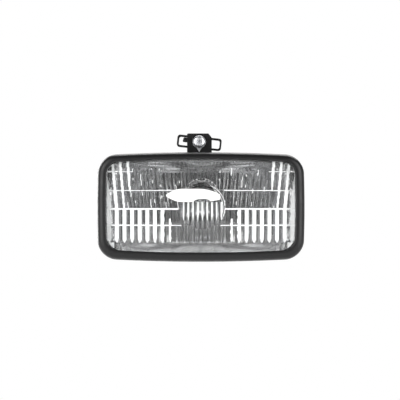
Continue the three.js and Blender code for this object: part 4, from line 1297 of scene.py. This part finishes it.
def top_bracket():
    """The steel angle: a riveted foot, a bend, and the ear with its cut corner."""
    low, high = box_mm("top_bracket")
    ear, foot, back = low.y + 1.0, low.z + 1.0, high.y
    line = [(back - 0.4, foot), (14, foot), (9, foot)]
    line += bend((9, foot), (ear, foot), (ear, 44), 2.4, 7) + [(ear, 48), (ear, 53.9)]
    corner = [(54.0, 0, 0), (56.2, 0, 1.6), (56.9, 0.1, 2.15), (57.2, 0.3, 2.4), (high.z, 0.8, 2.7)]
    stations = [(back, foot, low.x + 0.8, high.x - 0.8)] + [(y, z, low.x, high.x) for y, z in line]
    stations += [(ear, z, low.x + left, high.x - right) for z, left, right in corner]
    obj = finish(shape(add_strip, stations, 2.0, 0.28), "bracket_angle", "black_steel", "top_bracket")
    cut(obj, rod(2.8, -5, 12, 40, AIM_X, AIM_Z),
        *[moved(rod(2.3, 30, 46, 32), at(x, RIVET_Y, 0) @ UPRIGHT) for x, _ in RIVETS])


def bracket_rivets():
    for x, side in RIVETS:
        low, high = box_mm(f"bracket_rivet_{side}")
        profile = [(0, low.z), (2, low.z), (2, 41.6), (3.5, 41.6), (3.6, 41.9), (2.9, high.z - 0.35),
                   (1.5, high.z), (0, high.z)]
        rivet = moved(turned(profile, 0.25, 3, 40), at(x, RIVET_Y, 0) @ UPRIGHT)
        finish(rivet, f"rivet_{side}", "zinc_steel", f"bracket_rivet_{side}")


def aim_screw():
    """A pan-head screw with a cross recess and a rolled thread."""
    low, high = box_mm("adjuster_screw")
    face, tip = low.y, high.y
    pitch, step, radius = 0.8, 0.1, 2.4
    head = [(0, face), (2.6, face + 0.12), (4.0, face + 0.75), (4.75, face + 1.9), (4.75, face + 3.3),
            (4.6, face + 3.7), (radius, face + 3.7)]
    profile = softened(head, 0.35, 4) + [(radius, 1.2), (radius, 5.4)]
    y = 5.5
    while y < tip - 1.4:
        profile.append((radius, y))
        y += step
    profile += [(2.1, tip - 1.1), (1.5, tip - 0.3), (1.2, tip), (0, tip)]

    def thread(r, y, a):
        if not 5.45 < y < tip - 1.3:
            return r
        phase = (y / pitch - a / TAU) % 1.0
        return r - min(1.0, y - 5.4) * 0.42 * abs(2 * phase - 1)

    place = at(AIM_X, 0, AIM_Z)
    obj = finish(moved(shape(add_lathe, profile, 40, wave=thread), place), "aim_screw", "zinc_steel",
                 "adjuster_screw", body="adjuster_screw", sharp=32)
    turn = place @ Matrix.Rotation(math.radians(20), 4, "Y")
    cut(obj, moved(cross_recess(1.7, 0.4, 1.5, face, 1), turn))


def tab_washer():
    """A washer that runs out into a pointed tab below the screw's head."""
    low, high = box_mm("tab_washer")
    turn = [TAU * i / 120 for i in range(120)]

    def rim(a):
        down = abs((a + QUARTER + math.pi) % TAU - math.pi)
        return 5.1 if down > QUARTER else max(5.1, 5.11 / (math.sin(down) + 0.639 * math.cos(down)))

    def ring(radius_at, y):
        return [(radius_at(a) * math.cos(a), y, radius_at(a) * math.sin(a)) for a in turn]

    rings = [ring(lambda a: rim(a) - inset, y)
             for inset, y in ((0.15, high.y), (0.0, high.y - 0.15), (0.0, low.y + 0.15), (0.15, low.y))]
    rings += [ring(lambda a: radius, y)
              for radius, y in ((2.95, low.y), (2.8, low.y + 0.15), (2.8, high.y - 0.15), (2.95, high.y))]
    bm = moved(shape(add_rings, rings, joined=True), at(AIM_X, 0, AIM_Z))
    finish(bm, "washer_tab", "zinc_steel", "tab_washer")


def retaining_ring():
    """The push-on ring behind the bracket, with six notches in its bore."""
    low, high = box_mm("retaining_ring")
    place = at(AIM_X, 0, AIM_Z)
    section = [(2.75, low.y + 0.35), (4.35, low.y), (4.6, low.y + 0.2), (4.6, low.y + 0.45), (2.85, high.y)]
    obj = finish(moved(turned(section, 0.1, 2, 60, joined=True), place), "push_ring", "zinc_steel",
                 "retaining_ring", body="adjuster_screw")
    cut(obj, *[moved(shape(add_block, (2.0, 4, -0.35), (3.5, 6, 0.35), 0.3, 0.05),
                     place @ Matrix.Rotation(TAU * k / 6, 4, "Y")) for k in range(6)])


NUT_FRONT, NUT_BACK = 13.0, 21.0
NUT_TURN = 6


def clip_nut():
    """The moulded nut with a springy loop on each side and a tongue in the left one."""
    place = at(AIM_X, 0, AIM_Z) @ Matrix.Rotation(math.radians(NUT_TURN), 4, "Y")
    bm = shape(add_block, (-8, NUT_FRONT, -5.6), (8, NUT_BACK, 5.6), 1.4, 0.5)
    outside, inside = (6.8, 17.6, 4.8, 2.2), (8.0, 16.2, 3.4, 1.4)
    levels = [(0.3, NUT_FRONT), (0, NUT_FRONT + 0.3), (0, NUT_BACK - 0.3), (0.3, NUT_BACK)]
    back_levels = [(-inset, y) for inset, y in reversed(levels)]
    for side in (-1, 1):
        rings = []
        for (x0, x1, half, radius), insets in ((outside, levels), (inside, back_levels)):
            for inset, y in insets:
                points = rectangle(x0 + inset, inset - half, x1 - inset, half - inset, radius - inset)
                rings.append([(side * x, y, z) for x, z in points])
        add_rings(bm, rings, joined=True)
    tongue = [(-7.6, -0.6), (-12.2, -0.6)] + bend((-12.2, -0.6), (-13.2, -0.4), (-13.2, 1.2), 0.6)
    tongue += bend((-13.2, 1.2), (-12.6, 3.0), (-9, 3.0), 1.0) + [(-7.6, 3.0)]
    latch = shape(add_bevelled_prism, tongue, NUT_FRONT + 2, NUT_BACK - 2, "y", 0.3)
    finish(moved(latch, place), "nut_tongue", "nylon", body="clip_nut")
    for z in (-3.4, 3.4):
        add_block(bm, (-5.6, NUT_FRONT, z - 0.45), (5.6, NUT_FRONT + 0.5, z + 0.45), 0.3, 0.2)
    obj = finish(moved(bm, place), "nut_loops", "nylon", "clip_nut", body="clip_nut", sharp=35)
    cut(obj, moved(rod(2.75, 5, 30, 40), place), sharp=35)


# ---- Lower supports ----

BOLT_X, BOLT_Z = 2, 8.6


def supports():
    """On each side a headed pin, and an arm with an eye, a ribbed strut and an upright bolting pad."""
    pin = [(0, -9.4), (1.7, -9.4), (2, -9.0), (2, 4), (3.2, 4), (3.4, 4.2), (3.3, 4.9), (2.2, 5.4), (0, 5.4)]
    turn = [math.radians(60 + 210 * k / 24) for k in range(25)]
    strut = [(3.7 * math.cos(a), 3.7 * math.sin(a)) for a in turn] + [(20.9, -2.6), (20.9, 1.2), (3.4, 1.25)]
    collar = [(2.9, 19.7), (4.4, 19.7), (4.7, 20.0), (4.7, 21), (2.9, 21)]
    for side, name in SIDES:
        place = at(side * PIVOT[0], PIVOT[1], PIVOT[2]) @ Matrix.Scale(side, 4, (1, 0, 0))
        shaft = moved(turned(pin, 0.2, 3, 40), place @ ACROSS)
        finish(shaft, f"pin_{name}", "zinc_steel", f"pivot_pin_{name}")
        bm = shape(add_bevelled_prism, strut, -3.5, 3.5, "x", 0.35)
        for x in (-3.1, 3.1):
            add_block(bm, (x - 0.4, 5.5, -3.4), (x + 0.4, 20, 1.9), 0.3, 0.15, "x")
        add_block(bm, (-5, 20.6, -2.6), (9, 24, 16.4), 2.2, 0.45)
        add_bevelled_prism(bm, [(8, 0.8), (20.9, 0.8), (20.9, 12), (19.6, 11.4)], -1.2, 1.2, "x", 0.3)
        add_lathe(bm, collar, 48, BOLT_X, BOLT_Z, joined=True)
        obj = finish(moved(bm, place), f"arm_{name}", "nylon", f"support_arm_{name}", body=f"{name}_support",
                     sharp=35)
        cut(obj, moved(rod(2.3, -6, 6, 36), place @ ACROSS),
            moved(rod(2.7, 15, 30, 36, BOLT_X, BOLT_Z), place), sharp=35)


# ---- Studio ----

# Brightness of the room by the height and by the sideways part of a direction, each from -1 to 1.
ROOM_HEIGHT = [(-1.0, 0.9), (-0.25, 0.8), (0.0, 0.6), (0.2, 0.25), (0.6, 0.12), (1.0, 0.12)]
ROOM_SIDE = [(-1.0, 1.1), (-0.6, 1.0), (-0.35, 0.42), (-0.1, 0.2), (0.1, 0.2), (0.35, 0.42), (0.6, 1.0),
             (1.0, 1.1)]
# The area lights: place and target in metres, size in metres and power in watts.
LIGHTS = {
    "key": ((-1.2, -1.3, 0.5), (0, 0, 0), (0.6, 1.4), 26),
    "fill": ((1.3, -1.1, 0.4), (0, 0, 0), (0.6, 1.4), 22),
    "back": ((0.2, 1.4, 1.3), (0, 0, 0), (1.6, 1.0), 25),
    "rear": ((-1.0, 1.2, 0.25), (0, 0.05, 0), (1.0, 1.0), 24),
}
CAMERA_PLACE = (-0.0006, -0.866, 0.0054)
FLOOR_HEIGHT = -0.26


def surroundings(world):
    """White behind the object, and a room for light and reflections, bright low down and at the sides."""
    world.use_nodes = True
    fill, add = node_tools(world.node_tree)
    direction = add("ShaderNodeTexCoord", {}).outputs["Generated"]
    split = add("ShaderNodeSeparateXYZ", {"Vector": direction})

    def brightness(part, stops):
        """A grey by one part of the direction."""
        shift = add("ShaderNodeMapRange", {"Value": split.outputs[part], "From Min": -1.0})
        ramp = add("ShaderNodeValToRGB", {"Fac": shift.outputs["Result"]})
        while len(ramp.color_ramp.elements) < len(stops):
            ramp.color_ramp.elements.new(0.5)
        for element, (place, value) in zip(ramp.color_ramp.elements, stops):
            element.position = (place + 1) / 2
            element.color = (value, value, value, 1)
        return ramp.outputs["Color"]

    def mix(kind, factor, a, b):
        node = add("ShaderNodeMix", {})
        node.data_type = "RGBA"
        node.blend_type = kind
        fill(node, {"Factor": factor, 6: a, 7: b})
        return node.outputs[2]

    room = mix("MULTIPLY", 1.0, brightness("Z", ROOM_HEIGHT), brightness("X", ROOM_SIDE))
    from_camera = add("ShaderNodeLightPath", {}).outputs["Is Camera Ray"]
    fill(world.node_tree.nodes["Background"], {"Color": mix("MIX", from_camera, room, (1, 1, 1, 1))})


def floor():
    """A pale floor, lit a little from within so that its edges hardly show."""
    material, add, finish_shader, coords = node_material("pale_floor")
    finish_shader({
        "Base Color": two_tones(add, noise(add, coords, 2.0), (0.9, 0.9, 0.9), (0.93, 0.93, 0.93)),
        "Roughness": 0.8, "Emission Color": (1, 1, 1, 1), "Emission Strength": 0.3,
    })
    mesh = bpy.data.meshes.new("floor")
    mesh.from_pydata([(-1.6, -1.6, 0), (1.6, -1.6, 0), (1.6, 0.5, 0), (-1.6, 0.5, 0)], [], [(0, 1, 2, 3)])
    mesh.materials.append(material)
    obj = bpy.data.objects.new("floor", mesh)
    obj.location = (0, 0, FLOOR_HEIGHT)
    bpy.context.scene.collection.objects.link(obj)


def area_light(name, place, target, size, power):
    """A soft light that the lens doesn't show as a bright patch in the mirror."""
    data = bpy.data.lights.new(name, "AREA")
    data.shape = "RECTANGLE"
    data.size, data.size_y = size
    data.energy = power
    light = bpy.data.objects.new(name, data)
    light.location = place
    light.rotation_euler = (Vector(target) - Vector(place)).to_track_quat("-Z", "Y").to_euler()
    light.visible_transmission = False
    bpy.context.scene.collection.objects.link(light)


def studio():
    """White surroundings, the camera, the floor and the lights."""
    scene = bpy.context.scene
    scene.world = bpy.data.worlds.new("studio")
    surroundings(scene.world)
    scene.view_settings.view_transform = "Standard"
    scene.cycles.max_bounces = 24
    scene.cycles.glossy_bounces = 12
    scene.cycles.transmission_bounces = 20
    scene.cycles.transparent_max_bounces = 20

    camera_data = bpy.data.cameras.new("camera")
    camera_data.lens = 100
    camera_data.sensor_width = 36
    camera_data.clip_end = 50
    camera = bpy.data.objects.new("camera", camera_data)
    camera.location = CAMERA_PLACE
    camera.rotation_euler = (QUARTER, 0, 0)
    scene.collection.objects.link(camera)
    scene.camera = camera

    floor()
    for name, settings in LIGHTS.items():
        area_light(name, *settings)


for build in (
    bezel, lens, lens_pad, gasket, bezel_screws, reflector, bulb_shield, shield_rivet, bulb_capsule,
    bulb_filament, bulb_base, bulb_blade, receptacle, clip_wire, hinge_plate, clip_catch, housing_bowl,
    housing_ribs, housing_pad, housing_boss, vent_spigot, pivot_lugs, vent_cap, cap_seal, rear_cap, inlet,
    leads, top_bracket, bracket_rivets, aim_screw, tab_washer, retaining_ring, clip_nut, supports, studio,
):
    build()
